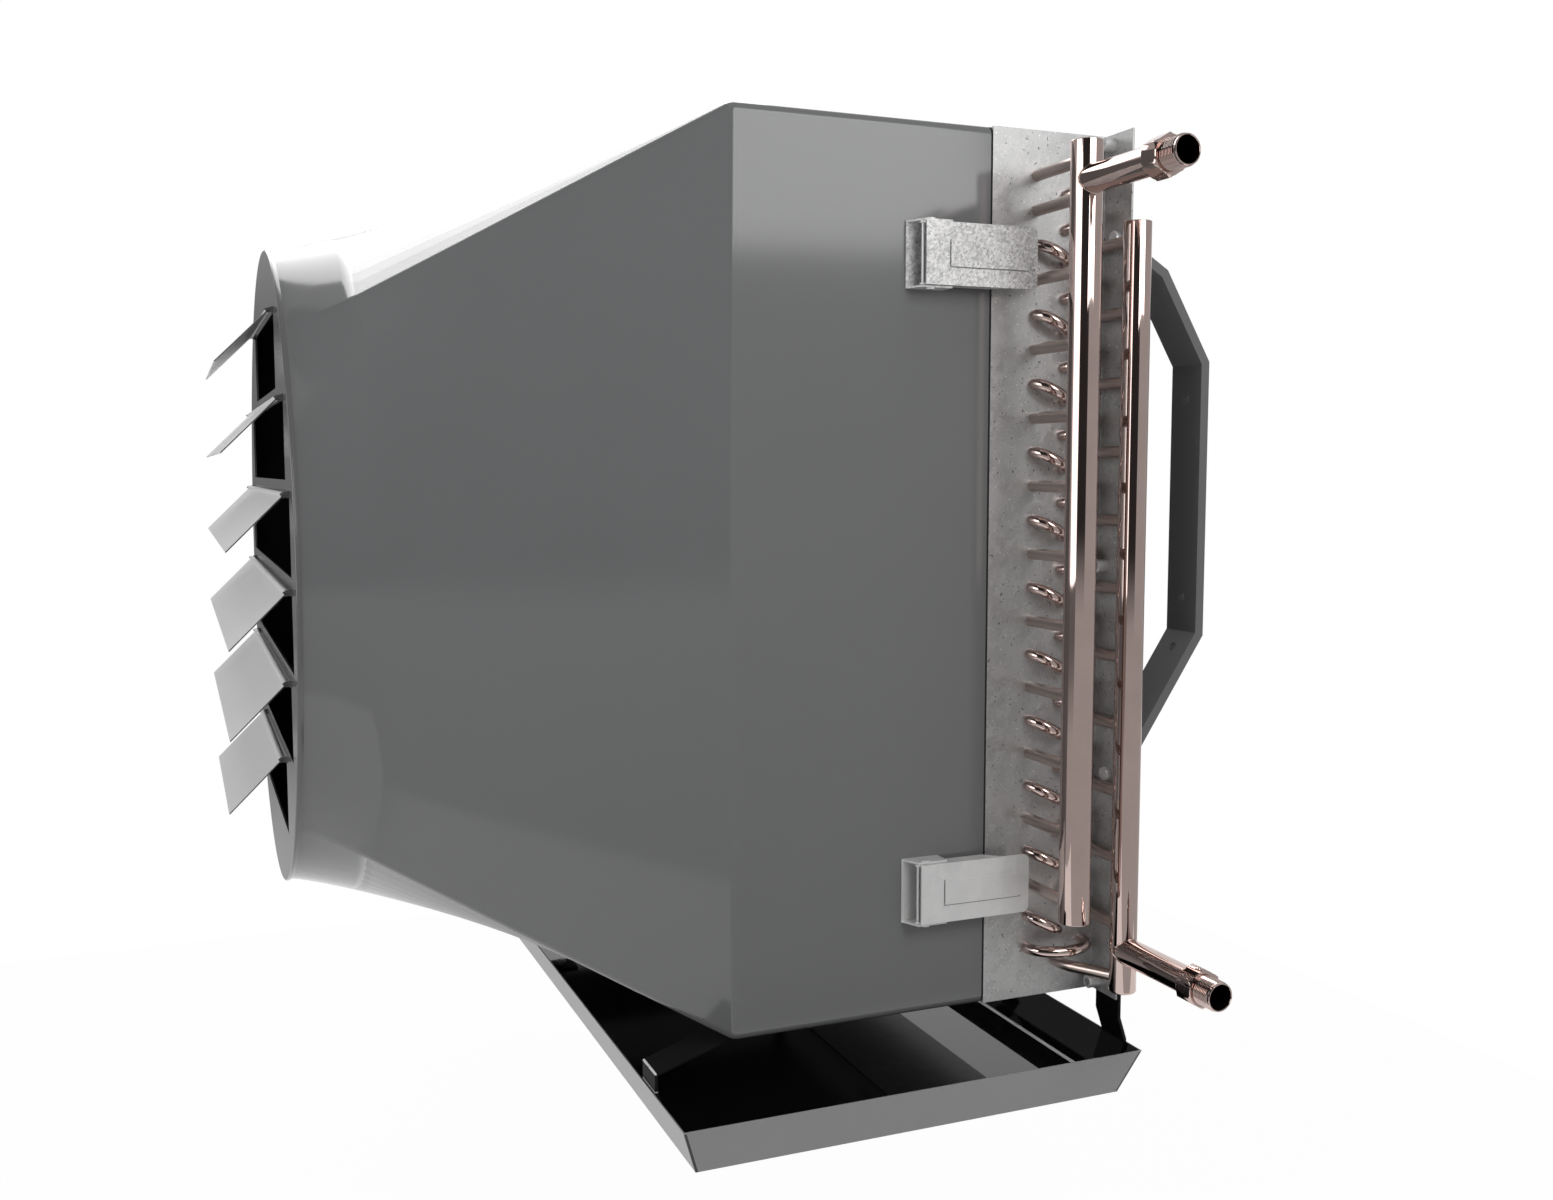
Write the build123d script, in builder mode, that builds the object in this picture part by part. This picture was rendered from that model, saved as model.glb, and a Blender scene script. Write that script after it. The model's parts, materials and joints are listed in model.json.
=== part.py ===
from build123d import *
import os
from math import cos, hypot, radians, sin, sqrt, tan

# Hot water unit heater that stands off a wall on two bent brackets.
# Millimetres. X runs across the air path, Y runs back to the wall, Z is up.
# The origin is the centre of the four wall bolts, on the face of the wall.
# Near means the +X side, where the headers are, and far means the -X side.

os.makedirs("parts", exist_ok=True)

# Sheet metal case
CASE_WIDTH = 784
CASE_HEIGHT = 820
CASE_CORNER = 8
SHEET = 1.5
HOUSING_DEPTH = 251
CONE_DEPTH = 357
NECK_DEPTH = 12
CREASE_SPREAD = 2.5  # degrees of the round end that each rounded box corner runs out to
GASKET_THICKNESS = 2
GASKET_WIDTH = 12
BOLT_RISE = 70  # how far the wall bolts' centre is above the middle of the case

# Coil casing
COIL_DEPTH = 124
END_PLATE = 2
FLANGE_WIDTH = 42
LIP_HEIGHT = 14
LIP_THICKNESS = 1.5

# Tubes and fins
TUBE_DIAMETER = 9.5
TUBE_PITCH = 31.75
ROW_PITCH = 31.75
ROW_COUNT = 3
TUBES_PER_ROW = 24
FRONT_ROW_BACK = 47  # from the seam to the front row of tubes
TOP_TUBE_DROP = 41  # from the top of the case to the first tube
FIN_MARGIN = 12
FIN_PITCH = 16
FIN_GAP = 7
FIN_GROOVE_DEPTH = 4
BEND_STRAIGHT = 8
BEND_CHORDS = 3
TUBE_SIDES = 8
CROSSOVER_REACH = 46

# Headers, branches and their threaded adapters
FRONT_HEADER_DIAMETER = 28.6
REAR_HEADER_DIAMETER = 25.4
PIPE_WALL = 1.25
FRONT_HEADER_REACH = 80
REAR_HEADER_REACH = 68
HEADER_OVERRUN = 15.5
BRANCH_DIAMETER = 25.4
BRANCH_HEIGHT = 350
BRANCH_REACH = 139
HEX_ACROSS_FLATS = 32
HEX_LENGTH = 20
THREAD_LENGTH = 20.5
THREAD_DIAMETER = 26.7
THREAD_CHAMFER = 1
ADAPTER_BORE = 21
SOCKET_DEPTH = 12

# Outlet plate and louvres
OUTLET_DIAMETER = 632
OUTLET_PLATE = 2
COLLAR_DEPTH = 5
COLLAR_WALL = 1.5
LOUVRE_COUNT = 6
LOUVRE_PITCH = 83.2
WINDOW_HEIGHT = 68.5
WINDOW_MARGIN = 32
LOUVRE_LENGTH = 67.5
LOUVRE_SHEET = 1.2
LOUVRE_OPEN = 45
HINGE_ABOVE_WINDOW = 2.3
HINGE_STAND_OFF = 4.2
BARREL_DIAMETER = 5.2
PIN_DIAMETER = 2.4
EAR_DIAMETER = 6.8
EAR_THICKNESS = 1.5

# Fan and motor
FAN_PANEL_BACK = 40  # from the front of the box to the fan panel
PANEL_LIP = 18
THROAT_RADIUS = 285
BELL_RADIUS = 25
THROAT_DEPTH = 45
TIP_CLEARANCE = 5
BLADE_COUNT = 5
BLADE_SHEET = 2.5
ROOT_CHORD = 84
TIP_CHORD = 150
ROOT_PITCH = 40
TIP_PITCH = 22
HUB_RADIUS = 58
HUB_DEPTH = 46
HUB_EDGE = 6
SHAFT_DIAMETER = 16
MOTOR_RADIUS = 74
MOTOR_DEPTH = 130
MOTOR_EDGE = 9
MOTOR_GAP = 14
CARRIER_WIDTH = 30
CARRIER_THICKNESS = 5
CARRIER_BAND = 5
POST_DIAMETER = 12
POST_CIRCLE = 372

# Latches
LATCH_OFFSET = 290  # above and below the middle of the case
LATCH_TO_SEAM = 71
LEVER_HEIGHT = 55.5
LEVER_REACH = 106
LEVER_FRONT = 8
LEVER_SHEET = 1.8
LEVER_CORNER = 6
SKIRT_REACH = 78
SKIRT_DEPTH = 15
PIVOT_STAND_OFF = 14
LEVER_OVER_PIVOT = 8
CRANK = 8
CRANK_TILT = 8
NOSE_RADIUS = 3.2
BAIL_WIRE = 3.2
BAIL_REACH = 88
RIVET_DIAMETER = 5
RIVET_HEAD = 9
RIVET_HEAD_HEIGHT = 1.2
BASE_SHEET = 2
BASE_FRONT = 18
BASE_BACK = 20
EMBOSS_LENGTH = 80
EMBOSS_HEIGHT = 23
EMBOSS_START = 16
EMBOSS_DEPTH = 0.8
KEEPER_WIDTH = 40
KEEPER_SHEET = 2
KEEPER_FLANGE = 24
KEEPER_LIP = 9

# Drain pan and the straps that carry it
PAN_HALF_WIDTH = 458
PAN_FRONT_OVERHANG = 72
PAN_BACK_OVERHANG = 12
PAN_DROP = 43
PAN_DEPTH = 44.5
PAN_SLOPE = 16
PAN_SHEET = 1.5
DRAIN_DIAMETER = 26.7
DRAIN_BORE = 20
DRAIN_LENGTH = 26
STRAP_WIDTH = 37
STRAP_SHEET = 3
STRAP_GRIP = 26
STRAP_FOOT = 40
FRONT_STRAP_INSET = 36
REAR_STRAP_OUTSET = 25
STRAP_RISE = 18

# Wall brackets
WALL_GAP = 89.5
BRACKET_WIDTH = 44
BRACKET_BAR = 9
WEB_HALF = 130.5
LOWER_LEG_ANGLE = 56.4
UPPER_LEG_ANGLE = 59
UPPER_LEG_REACH = 50
UPPER_TOE_ANGLE = 31
BRACKET_FOOT = 24
WALL_BOLT_SPACING = 191
WALL_BOLT_HOLE = 9
SLANT_HOLE = 9
SLANT_HOLE_DROP = 17.5

# Screws
SCREW_DIAMETER = 8
SCREW_HEAD = 13
SCREW_HEAD_HEIGHT = 5.5
STUD_LENGTH = 12
STUD_BORE = 8
SCREW_EDGE = 10
SCREW_OUTSET = 11  # from the side of the case
NEAR_MIDDLE_SCREW_RISE = 7  # above the middle of the case
NUT_ACROSS_FLATS = 13
NUT_HEIGHT = 6.5

# Clearances
FIT = 0.3  # between pieces that move past each other
RUNNING = 0.08  # round a shaft or a pin, on the radius
SEAT = 0.2  # where one piece is slipped into another
TOUCH = 0.05  # between pieces that touch and stay separate

# Places worked out from the sizes above
z_mid = -BOLT_RISE
z_top = z_mid + CASE_HEIGHT / 2
z_bottom = z_mid - CASE_HEIGHT / 2
half_width = CASE_WIDTH / 2
y_back = -WALL_GAP
y_seam = y_back - COIL_DEPTH
y_housing_back = y_seam - GASKET_THICKNESS
y_front = y_housing_back - HOUSING_DEPTH
y_outlet = y_front - CONE_DEPTH
SIDES = {"near": 1, "far": -1}
LEVELS = {"upper": z_mid + LATCH_OFFSET, "lower": z_mid - LATCH_OFFSET}


def across(y):
    """Upright plane across the air path at depth y, looking out of the outlet."""
    return Plane(origin=(0, y, z_mid), x_dir=(1, 0, 0), z_dir=(0, -1, 0))


def side_plane(x):
    """Upright plane along the air path: its own x is Y and its own y is Z."""
    return Plane.YZ.offset(x)


def finish(built, label):
    """Names a finished piece and writes it."""
    built.part.label = label
    export_step(built.part, f"parts/{label}.step")


def case_outline(inset=0):
    RectangleRounded(CASE_WIDTH - 2 * inset, CASE_HEIGHT - 2 * inset, CASE_CORNER - inset)


def round_outline(radius):
    """Circle in eight arcs, a short one for each corner of the box."""
    with BuildLine() as arcs:
        for corner in range(4):
            middle = 45 + 90 * corner
            CenterArc((0, 0), radius, middle - CREASE_SPREAD, 2 * CREASE_SPREAD)
            CenterArc((0, 0), radius, middle + CREASE_SPREAD, 90 - 2 * CREASE_SPREAD)
    make_face(arcs.edges())


# Housing: a box at the back, a square-to-round cone and a short round neck
neck_radius = OUTLET_DIAMETER / 2 - COLLAR_WALL - SEAT
y_neck_end = y_outlet + OUTLET_PLATE
y_neck = y_neck_end + NECK_DEPTH

with BuildPart() as housing_shell:
    for inset, mode in ((0, Mode.ADD), (SHEET, Mode.SUBTRACT)):
        with BuildSketch(across(y_housing_back)):
            case_outline(inset)
        extrude(amount=y_housing_back - y_front, mode=mode)
        with BuildSketch(across(y_front)):
            case_outline(inset)
        with BuildSketch(across(y_neck)):
            round_outline(neck_radius - inset)
        loft(ruled=True, mode=mode)
        with BuildSketch(across(y_neck)):
            Circle(neck_radius - inset)
        extrude(amount=NECK_DEPTH, mode=mode)
finish(housing_shell, "housing_shell")

with BuildPart() as seam_gasket:
    with BuildSketch(across(y_seam)):
        case_outline()
        RectangleRounded(
            CASE_WIDTH - 2 * GASKET_WIDTH,
            CASE_HEIGHT - 2 * GASKET_WIDTH,
            CASE_CORNER,
            mode=Mode.SUBTRACT,
        )
    extrude(amount=GASKET_THICKNESS)
finish(seam_gasket, "seam_gasket")

# Outlet plate with its collar, windows and hinge ears
outlet_radius = OUTLET_DIAMETER / 2
window_corner_radius = outlet_radius - WINDOW_MARGIN
hinge_y = y_outlet - HINGE_STAND_OFF


def window_middle(number):
    """Height of a window's middle above the middle of the case, counted from the top."""
    return ((LOUVRE_COUNT - 1) / 2 - number) * LOUVRE_PITCH


def window_half_width(number):
    """Half the width that fits inside the corner circle at the window's outer edge."""
    outer_edge = abs(window_middle(number)) + WINDOW_HEIGHT / 2
    return sqrt(window_corner_radius**2 - outer_edge**2)


def hinge_z(number):
    return z_mid + window_middle(number) + WINDOW_HEIGHT / 2 + HINGE_ABOVE_WINDOW


with BuildPart() as outlet_plate:
    with BuildSketch(across(y_neck_end)):
        Circle(outlet_radius)
        for number in range(LOUVRE_COUNT):
            with Locations((0, window_middle(number))):
                Rectangle(2 * window_half_width(number), WINDOW_HEIGHT, mode=Mode.SUBTRACT)
    extrude(amount=OUTLET_PLATE)
    with BuildSketch(across(y_neck_end)):
        Circle(outlet_radius)
        Circle(outlet_radius - COLLAR_WALL, mode=Mode.SUBTRACT)
    extrude(amount=-(COLLAR_DEPTH - OUTLET_PLATE))
    for number in range(LOUVRE_COUNT):
        ear_inner = window_half_width(number) + FIT
        for ear_start in (ear_inner, -ear_inner - EAR_THICKNESS):
            with BuildSketch(side_plane(ear_start)):
                with Locations((hinge_y, hinge_z(number))):
                    Circle(EAR_DIAMETER / 2)
                    Rectangle(HINGE_STAND_OFF, EAR_DIAMETER, align=(Align.MIN, Align.CENTER))
                    Circle(PIN_DIAMETER / 2 + RUNNING, mode=Mode.SUBTRACT)
            extrude(amount=EAR_THICKNESS)
finish(outlet_plate, "outlet_plate")

# Louvres, each with a barrel rolled along its top edge
for number in range(LOUVRE_COUNT):
    with BuildPart() as louvre:
        with BuildSketch(side_plane(0)):
            with Locations((hinge_y, hinge_z(number))):
                Circle(BARREL_DIAMETER / 2)
            with Locations(Location((hinge_y, hinge_z(number), 0), 270 - LOUVRE_OPEN)):
                Rectangle(LOUVRE_LENGTH, LOUVRE_SHEET, align=(Align.MIN, Align.CENTER))
            with Locations((hinge_y, hinge_z(number))):
                Circle(PIN_DIAMETER / 2 + RUNNING, mode=Mode.SUBTRACT)
        extrude(amount=window_half_width(number), both=True)
    finish(louvre, f"louvre_{number + 1}")

with BuildPart() as louvre_pins:
    for number in range(LOUVRE_COUNT):
        with BuildSketch(side_plane(0)):
            with Locations((hinge_y, hinge_z(number))):
                Circle(PIN_DIAMETER / 2)
        extrude(amount=window_half_width(number) + FIT + EAR_THICKNESS, both=True)
finish(louvre_pins, "louvre_pins")

# Fan panel: a square plate with lips and a bell-mouth that draws down to the throat
y_panel = y_front + FAN_PANEL_BACK
fan_axis = Axis((0, 0, z_mid), (0, 1, 0))
bell_centre = (y_panel - BELL_RADIUS, z_mid + THROAT_RADIUS + BELL_RADIUS)
y_throat_end = y_panel - THROAT_DEPTH
panel_inset = SHEET + SEAT

with BuildPart() as fan_panel:
    with BuildSketch(across(y_panel)):
        case_outline(panel_inset)
        Circle(THROAT_RADIUS + BELL_RADIUS, mode=Mode.SUBTRACT)
    extrude(amount=SHEET)
    with BuildSketch(across(y_panel)):
        case_outline(panel_inset)
        RectangleRounded(
            CASE_WIDTH - 2 * (panel_inset + SHEET),
            CASE_HEIGHT - 2 * (panel_inset + SHEET),
            CASE_CORNER - panel_inset - SHEET,
            mode=Mode.SUBTRACT,
        )
    extrude(amount=-PANEL_LIP)
    with BuildSketch(Plane.YZ):
        with BuildLine():
            inner_bell = CenterArc(bell_centre, BELL_RADIUS, 270, 90)
            outer_bell = CenterArc(bell_centre, BELL_RADIUS - SHEET, 270, 90)
            Line(inner_bell @ 1, outer_bell @ 1)
            Polyline(
                inner_bell @ 0,
                (y_throat_end, z_mid + THROAT_RADIUS),
                (y_throat_end, z_mid + THROAT_RADIUS + SHEET),
                outer_bell @ 0,
            )
        make_face()
    revolve(axis=fan_axis)
finish(fan_panel, "fan_panel")

# Fan: hub and twisted blades on the motor's shaft
y_hub_back = y_panel - THROAT_DEPTH / 2 + HUB_DEPTH / 2
y_hub_front = y_hub_back - HUB_DEPTH
y_blade = y_hub_front + HUB_DEPTH / 2
y_motor_front = y_hub_back + MOTOR_GAP
y_motor_back = y_motor_front + MOTOR_DEPTH

with BuildPart() as fan_hub:
    with BuildSketch(across(y_hub_back)):
        Circle(HUB_RADIUS)
        Circle(SHAFT_DIAMETER / 2, mode=Mode.SUBTRACT)
    extrude(amount=HUB_DEPTH)
    chamfer(fan_hub.faces().sort_by(Axis.Y)[0].outer_wire().edges(), HUB_EDGE)
finish(fan_hub, "fan_hub")

with BuildPart() as fan_blades:
    for number in range(BLADE_COUNT):
        turn = 360 / BLADE_COUNT * number
        for radius, chord, pitch in (
            (HUB_RADIUS - SHAFT_DIAMETER, ROOT_CHORD, ROOT_PITCH),
            (THROAT_RADIUS / 2, (ROOT_CHORD + TIP_CHORD) / 2, (ROOT_PITCH + TIP_PITCH) / 2),
            (THROAT_RADIUS - TIP_CLEARANCE, TIP_CHORD, TIP_PITCH),
        ):
            outward = Vector(sin(radians(turn)), 0, cos(radians(turn)))
            along = Vector(cos(radians(turn)), 0, -sin(radians(turn)))
            centre = Vector(0, y_blade, z_mid) + outward * radius
            with BuildSketch(Plane(origin=centre, x_dir=along, z_dir=outward)):
                Rectangle(chord, BLADE_SHEET, rotation=pitch)
        loft()
    with BuildSketch(across(y_blade)):
        Circle(THROAT_RADIUS + TIP_CHORD)
        Circle(THROAT_RADIUS - TIP_CLEARANCE, mode=Mode.SUBTRACT)
        Circle(HUB_RADIUS)
    extrude(amount=TIP_CHORD, both=True, mode=Mode.SUBTRACT)
finish(fan_blades, "fan_blades")

with BuildPart() as motor_shaft:
    with BuildSketch(across(y_motor_front + MOTOR_DEPTH / 2)):
        Circle(SHAFT_DIAMETER / 2)
    extrude(amount=y_motor_front + MOTOR_DEPTH / 2 - y_hub_front)
finish(motor_shaft, "motor_shaft")

with BuildPart() as motor_body:
    with BuildSketch(across(y_motor_back)):
        Circle(MOTOR_RADIUS)
    extrude(amount=MOTOR_DEPTH)
    chamfer(motor_body.edges().filter_by(GeomType.CIRCLE), MOTOR_EDGE)
    with BuildSketch(across(y_motor_front)):
        Circle(SHAFT_DIAMETER / 2 + RUNNING)
    extrude(amount=-MOTOR_DEPTH / 2 - RUNNING, mode=Mode.SUBTRACT)
finish(motor_body, "motor_body")

# Motor carrier: a band round the motor, four arms and four posts to the fan panel
y_carrier = y_motor_front + MOTOR_DEPTH / 2
band_radius = MOTOR_RADIUS + SEAT + CARRIER_BAND
with BuildPart() as motor_carrier:
    for quarter in range(4):
        turn = 45 + 90 * quarter
        with BuildSketch(across(y_carrier + CARRIER_THICKNESS / 2)):
            with Locations(Location((0, 0, 0), turn)):
                Rectangle(POST_CIRCLE, CARRIER_WIDTH, align=(Align.MIN, Align.CENTER))
            with PolarLocations(POST_CIRCLE, 1, start_angle=turn):
                Circle(CARRIER_WIDTH / 2)
        extrude(amount=CARRIER_THICKNESS)
    with BuildSketch(across(y_carrier + CARRIER_WIDTH / 2)):
        Circle(band_radius + TOUCH)
    extrude(amount=CARRIER_WIDTH, mode=Mode.SUBTRACT)
    with BuildSketch(across(y_carrier + CARRIER_WIDTH / 2)):
        Circle(band_radius)
        Circle(MOTOR_RADIUS + SEAT, mode=Mode.SUBTRACT)
    extrude(amount=CARRIER_WIDTH)
    y_post_back = y_carrier - CARRIER_THICKNESS / 2 - TOUCH
    with BuildSketch(across(y_post_back)):
        with PolarLocations(POST_CIRCLE, 4, start_angle=45):
            Circle(POST_DIAMETER / 2)
    extrude(amount=y_post_back - y_panel)
finish(motor_carrier, "motor_carrier")

# Places of the tubes, and of the screws that miss their bends
y_first_row = y_seam + FRONT_ROW_BACK


def row_y(row):
    return y_first_row + row * ROW_PITCH


def tube_z(row, number):
    """Height of a tube: the middle row is half a pitch lower than its neighbours."""
    stagger = TUBE_PITCH / 2 if row % 2 else 0
    return z_top - TOP_TUBE_DROP - number * TUBE_PITCH - stagger


def flange_screw_heights(sign):
    """The far middle screw sits in a gap between two return bends."""
    between = TUBES_PER_ROW / 2 - 1.5
    middle = z_mid + NEAR_MIDDLE_SCREW_RISE if sign > 0 else tube_z(2, between)
    return z_bottom + SCREW_EDGE, middle, z_top - SCREW_EDGE


# Coil casing: two end plates with their back flanges turned out, a top and a bottom sheet
flange_screw_x = half_width + SCREW_OUTSET
bracket_x = half_width + FLANGE_WIDTH / 2
upper_leg_rise = UPPER_LEG_REACH * tan(radians(UPPER_LEG_ANGLE))
foot_y = y_back + BRACKET_BAR
toe_rise = (-UPPER_LEG_REACH - foot_y) * tan(radians(UPPER_TOE_ANGLE))
upper_foot_z = WEB_HALF + upper_leg_rise + toe_rise
lower_foot_z = -WEB_HALF + foot_y * tan(radians(LOWER_LEG_ANGLE))
foot_bolt_heights = (upper_foot_z + BRACKET_FOOT / 2, lower_foot_z - BRACKET_FOOT / 2)

for side, sign in SIDES.items():
    with BuildPart() as end_plate:
        with BuildSketch(side_plane(sign * half_width)):
            with Locations(((y_seam + y_back) / 2, z_mid)):
                Rectangle(COIL_DEPTH, CASE_HEIGHT)
        extrude(amount=-sign * END_PLATE)
        with BuildSketch(across(y_back)):
            with Locations((sign * (half_width + FLANGE_WIDTH / 2), 0)):
                Rectangle(FLANGE_WIDTH, CASE_HEIGHT)
            screw_places = [
                (sign * flange_screw_x, z - z_mid) for z in flange_screw_heights(sign)
            ]
            foot_places = [(sign * bracket_x, z - z_mid) for z in foot_bolt_heights]
            with Locations(*screw_places, *foot_places):
                Circle(SCREW_DIAMETER / 2, mode=Mode.SUBTRACT)
        extrude(amount=END_PLATE)
    finish(end_plate, f"coil_end_plate_{side}")

sheet_span = CASE_WIDTH - 2 * END_PLATE
for level, sign, z_edge in (("top", 1, z_top), ("bottom", -1, z_bottom)):
    with BuildPart() as coil_sheet:
        with BuildSketch(Plane.XY.offset(z_edge)):
            with Locations((0, (y_seam + y_back) / 2)):
                Rectangle(sheet_span, COIL_DEPTH)
        extrude(amount=-sign * LIP_THICKNESS)
        for y_lip in (y_seam + LIP_THICKNESS, y_back):
            with BuildSketch(across(y_lip)):
                with Locations((0, sign * (CASE_HEIGHT - LIP_HEIGHT) / 2)):
                    Rectangle(sheet_span, LIP_HEIGHT)
            extrude(amount=LIP_THICKNESS)
    finish(coil_sheet, f"coil_{level}_sheet")

# Fins: one block with a groove between every pair of fins on both faces
y_last_row = y_first_row + (ROW_COUNT - 1) * ROW_PITCH
fin_front = y_first_row - FIN_MARGIN
fin_back = min(y_last_row + FIN_MARGIN, y_back - LIP_THICKNESS)
fin_height = CASE_HEIGHT - 2 * LIP_THICKNESS
groove_count = int(sheet_span // FIN_PITCH)

with BuildPart() as fin_pack:
    with BuildSketch(Plane.XY.offset(z_bottom + LIP_THICKNESS)):
        with Locations((0, (fin_front + fin_back) / 2)):
            Rectangle(sheet_span, fin_back - fin_front)
        for groove_y in (fin_front, fin_back):
            with Locations((0, groove_y)):
                with GridLocations(FIN_PITCH, 1, groove_count, 1):
                    Rectangle(FIN_GAP, 2 * FIN_GROOVE_DEPTH, mode=Mode.SUBTRACT)
    extrude(amount=fin_height)
finish(fin_pack, "fin_pack")


def return_bend(sign, start, end):
    """U-bend on an end plate between two tubes, each given as a (row, number) pair."""
    first = Vector(sign * half_width, row_y(start[0]), tube_z(*start))
    last = Vector(sign * half_width, row_y(end[0]), tube_z(*end))
    outward = Vector(sign, 0, 0)
    middle = (first + last) / 2 + outward * BEND_STRAIGHT
    half_span = (last - first) / 2
    points = [first]
    for step in range(BEND_CHORDS + 1):
        angle = radians(180 * step / BEND_CHORDS)
        points.append(middle - half_span * cos(angle) + outward * half_span.length * sin(angle))
    points.append(last)
    with BuildLine() as path:
        Polyline(*points)
    with BuildSketch(Plane(origin=first, z_dir=outward)) as tube:
        RegularPolygon(TUBE_DIAMETER / 2, TUBE_SIDES)
    sweep(sections=tube.sketch, path=path.wires()[0], transition=Transition.RIGHT)


last_tube = TUBES_PER_ROW - 1
even_tubes = range(2, last_tube, 2)
odd_tubes = range(1, last_tube, 2)

with BuildPart() as near_bends:
    for number in even_tubes:
        return_bend(1, (0, number), (1, number))
    for number in (0, *odd_tubes):
        return_bend(1, (1, number), (2, number))
    return_bend(1, (0, last_tube), (2, last_tube))
finish(near_bends, "near_bends")

with BuildPart() as far_bends:
    return_bend(-1, (0, 0), (1, 0))
    return_bend(-1, (0, last_tube), (1, last_tube))
    for row in range(ROW_COUNT):
        for number in odd_tubes:
            return_bend(-1, (row, number), (row, number + 1))
finish(far_bends, "far_bends")

with BuildPart() as crossover_tube:
    top_end = Vector(-half_width, row_y(2), tube_z(2, 0))
    bottom_end = Vector(-half_width, row_y(2), tube_z(2, last_tube))
    reach = Vector(-CROSSOVER_REACH, 0, 0)
    with BuildLine() as crossover_path:
        Polyline(top_end, top_end + reach, bottom_end + reach, bottom_end)
    with BuildSketch(Plane(origin=top_end, z_dir=(-1, 0, 0))):
        RegularPolygon(TUBE_DIAMETER / 2, TUBE_SIDES)
    sweep(path=crossover_path.wires()[0], transition=Transition.RIGHT)
finish(crossover_tube, "crossover_tube")

# Headers with a branch each
front_header_x = half_width + FRONT_HEADER_REACH
rear_header_x = half_width + REAR_HEADER_REACH
HEADERS = {
    "front": (front_header_x, 0, FRONT_HEADER_DIAMETER, z_mid + BRANCH_HEIGHT, [0, *odd_tubes]),
    "rear": (rear_header_x, 2, REAR_HEADER_DIAMETER, z_mid - BRANCH_HEIGHT, list(even_tubes)),
}
for name, (x, row, diameter, branch_z, numbers) in HEADERS.items():
    y = row_y(row)
    ends = [tube_z(row, numbers[0]), tube_z(row, numbers[-1]), branch_z - BRANCH_DIAMETER]
    z_high = max(ends) + HEADER_OVERRUN
    z_low = min(ends) - HEADER_OVERRUN
    with BuildPart() as header:
        with BuildSketch(Plane.XY.offset(z_low)):
            with Locations((x, y)):
                Circle(diameter / 2)
        extrude(amount=z_high - z_low)
        fillet(header.edges().filter_by(GeomType.CIRCLE), PIPE_WALL * 2)
        with BuildSketch(Plane.XY.offset(z_low + PIPE_WALL)):
            with Locations((x, y)):
                Circle(diameter / 2 - PIPE_WALL)
        extrude(amount=z_high - z_low - 2 * PIPE_WALL, mode=Mode.SUBTRACT)
        with BuildSketch(side_plane(x)):
            with Locations((y, branch_z)):
                Circle(diameter / 2 - 2 * PIPE_WALL)
        extrude(amount=diameter, mode=Mode.SUBTRACT)
    finish(header, f"{name}_header")

    x_tip = x + BRANCH_REACH
    x_hex = x_tip - THREAD_LENGTH - HEX_LENGTH
    with BuildPart() as branch:
        with BuildSketch(side_plane(x)):
            with Locations((y, branch_z)):
                Circle(BRANCH_DIAMETER / 2)
                Circle(BRANCH_DIAMETER / 2 - PIPE_WALL, mode=Mode.SUBTRACT)
        extrude(amount=x_hex + SOCKET_DEPTH - x)
        with BuildSketch(Plane.XY.offset(branch_z - BRANCH_DIAMETER)):
            with Locations((x, y)):
                Circle(diameter / 2 + TOUCH)
        extrude(amount=2 * BRANCH_DIAMETER, mode=Mode.SUBTRACT)
    kept = branch.part.solids().sort_by(Axis.X)[-1]
    with BuildPart() as branch_kept:
        add(kept)
    finish(branch_kept, f"{name}_branch")

    with BuildPart() as adapter:
        with BuildSketch(side_plane(x_hex)):
            with Locations((y, branch_z)):
                RegularPolygon(HEX_ACROSS_FLATS / 2, 6, major_radius=False, rotation=30)
        extrude(amount=HEX_LENGTH)
        with BuildSketch(side_plane(x_hex + HEX_LENGTH)):
            with Locations((y, branch_z)):
                Circle(THREAD_DIAMETER / 2)
        extrude(amount=THREAD_LENGTH)
        chamfer(adapter.faces().sort_by(Axis.X)[-1].edges(), THREAD_CHAMFER)
        with BuildSketch(side_plane(x_hex)):
            with Locations((y, branch_z)):
                Circle(BRANCH_DIAMETER / 2 + RUNNING)
        extrude(amount=SOCKET_DEPTH, mode=Mode.SUBTRACT)
        with BuildSketch(side_plane(x_hex)):
            with Locations((y, branch_z)):
                Circle(ADAPTER_BORE / 2)
        extrude(amount=HEX_LENGTH + THREAD_LENGTH, mode=Mode.SUBTRACT)
    finish(adapter, f"{name}_adapter")

    with BuildPart() as stubs:
        for number in numbers:
            with BuildSketch(side_plane(half_width)):
                with Locations((y, tube_z(row, number))):
                    RegularPolygon(TUBE_DIAMETER / 2, TUBE_SIDES)
            extrude(amount=x - half_width)
        if name == "rear":
            feeder_start = Vector(half_width, row_y(1), tube_z(1, last_tube))
            feeder_knee = feeder_start + Vector(BEND_STRAIGHT + TUBE_DIAMETER, 0, 0)
            with BuildLine() as feeder_path:
                Polyline(feeder_start, feeder_knee, Vector(x, y, feeder_start.Z))
            with BuildSketch(Plane(origin=feeder_start, z_dir=(1, 0, 0))):
                RegularPolygon(TUBE_DIAMETER / 2, TUBE_SIDES)
            sweep(path=feeder_path.wires()[0], transition=Transition.RIGHT)
        with BuildSketch(Plane.XY.offset(z_low)):
            with Locations((x, y)):
                Circle(diameter / 2 + TOUCH)
        extrude(amount=z_high - z_low, mode=Mode.SUBTRACT)
    finish(stubs, f"{name}_stubs")

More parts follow.
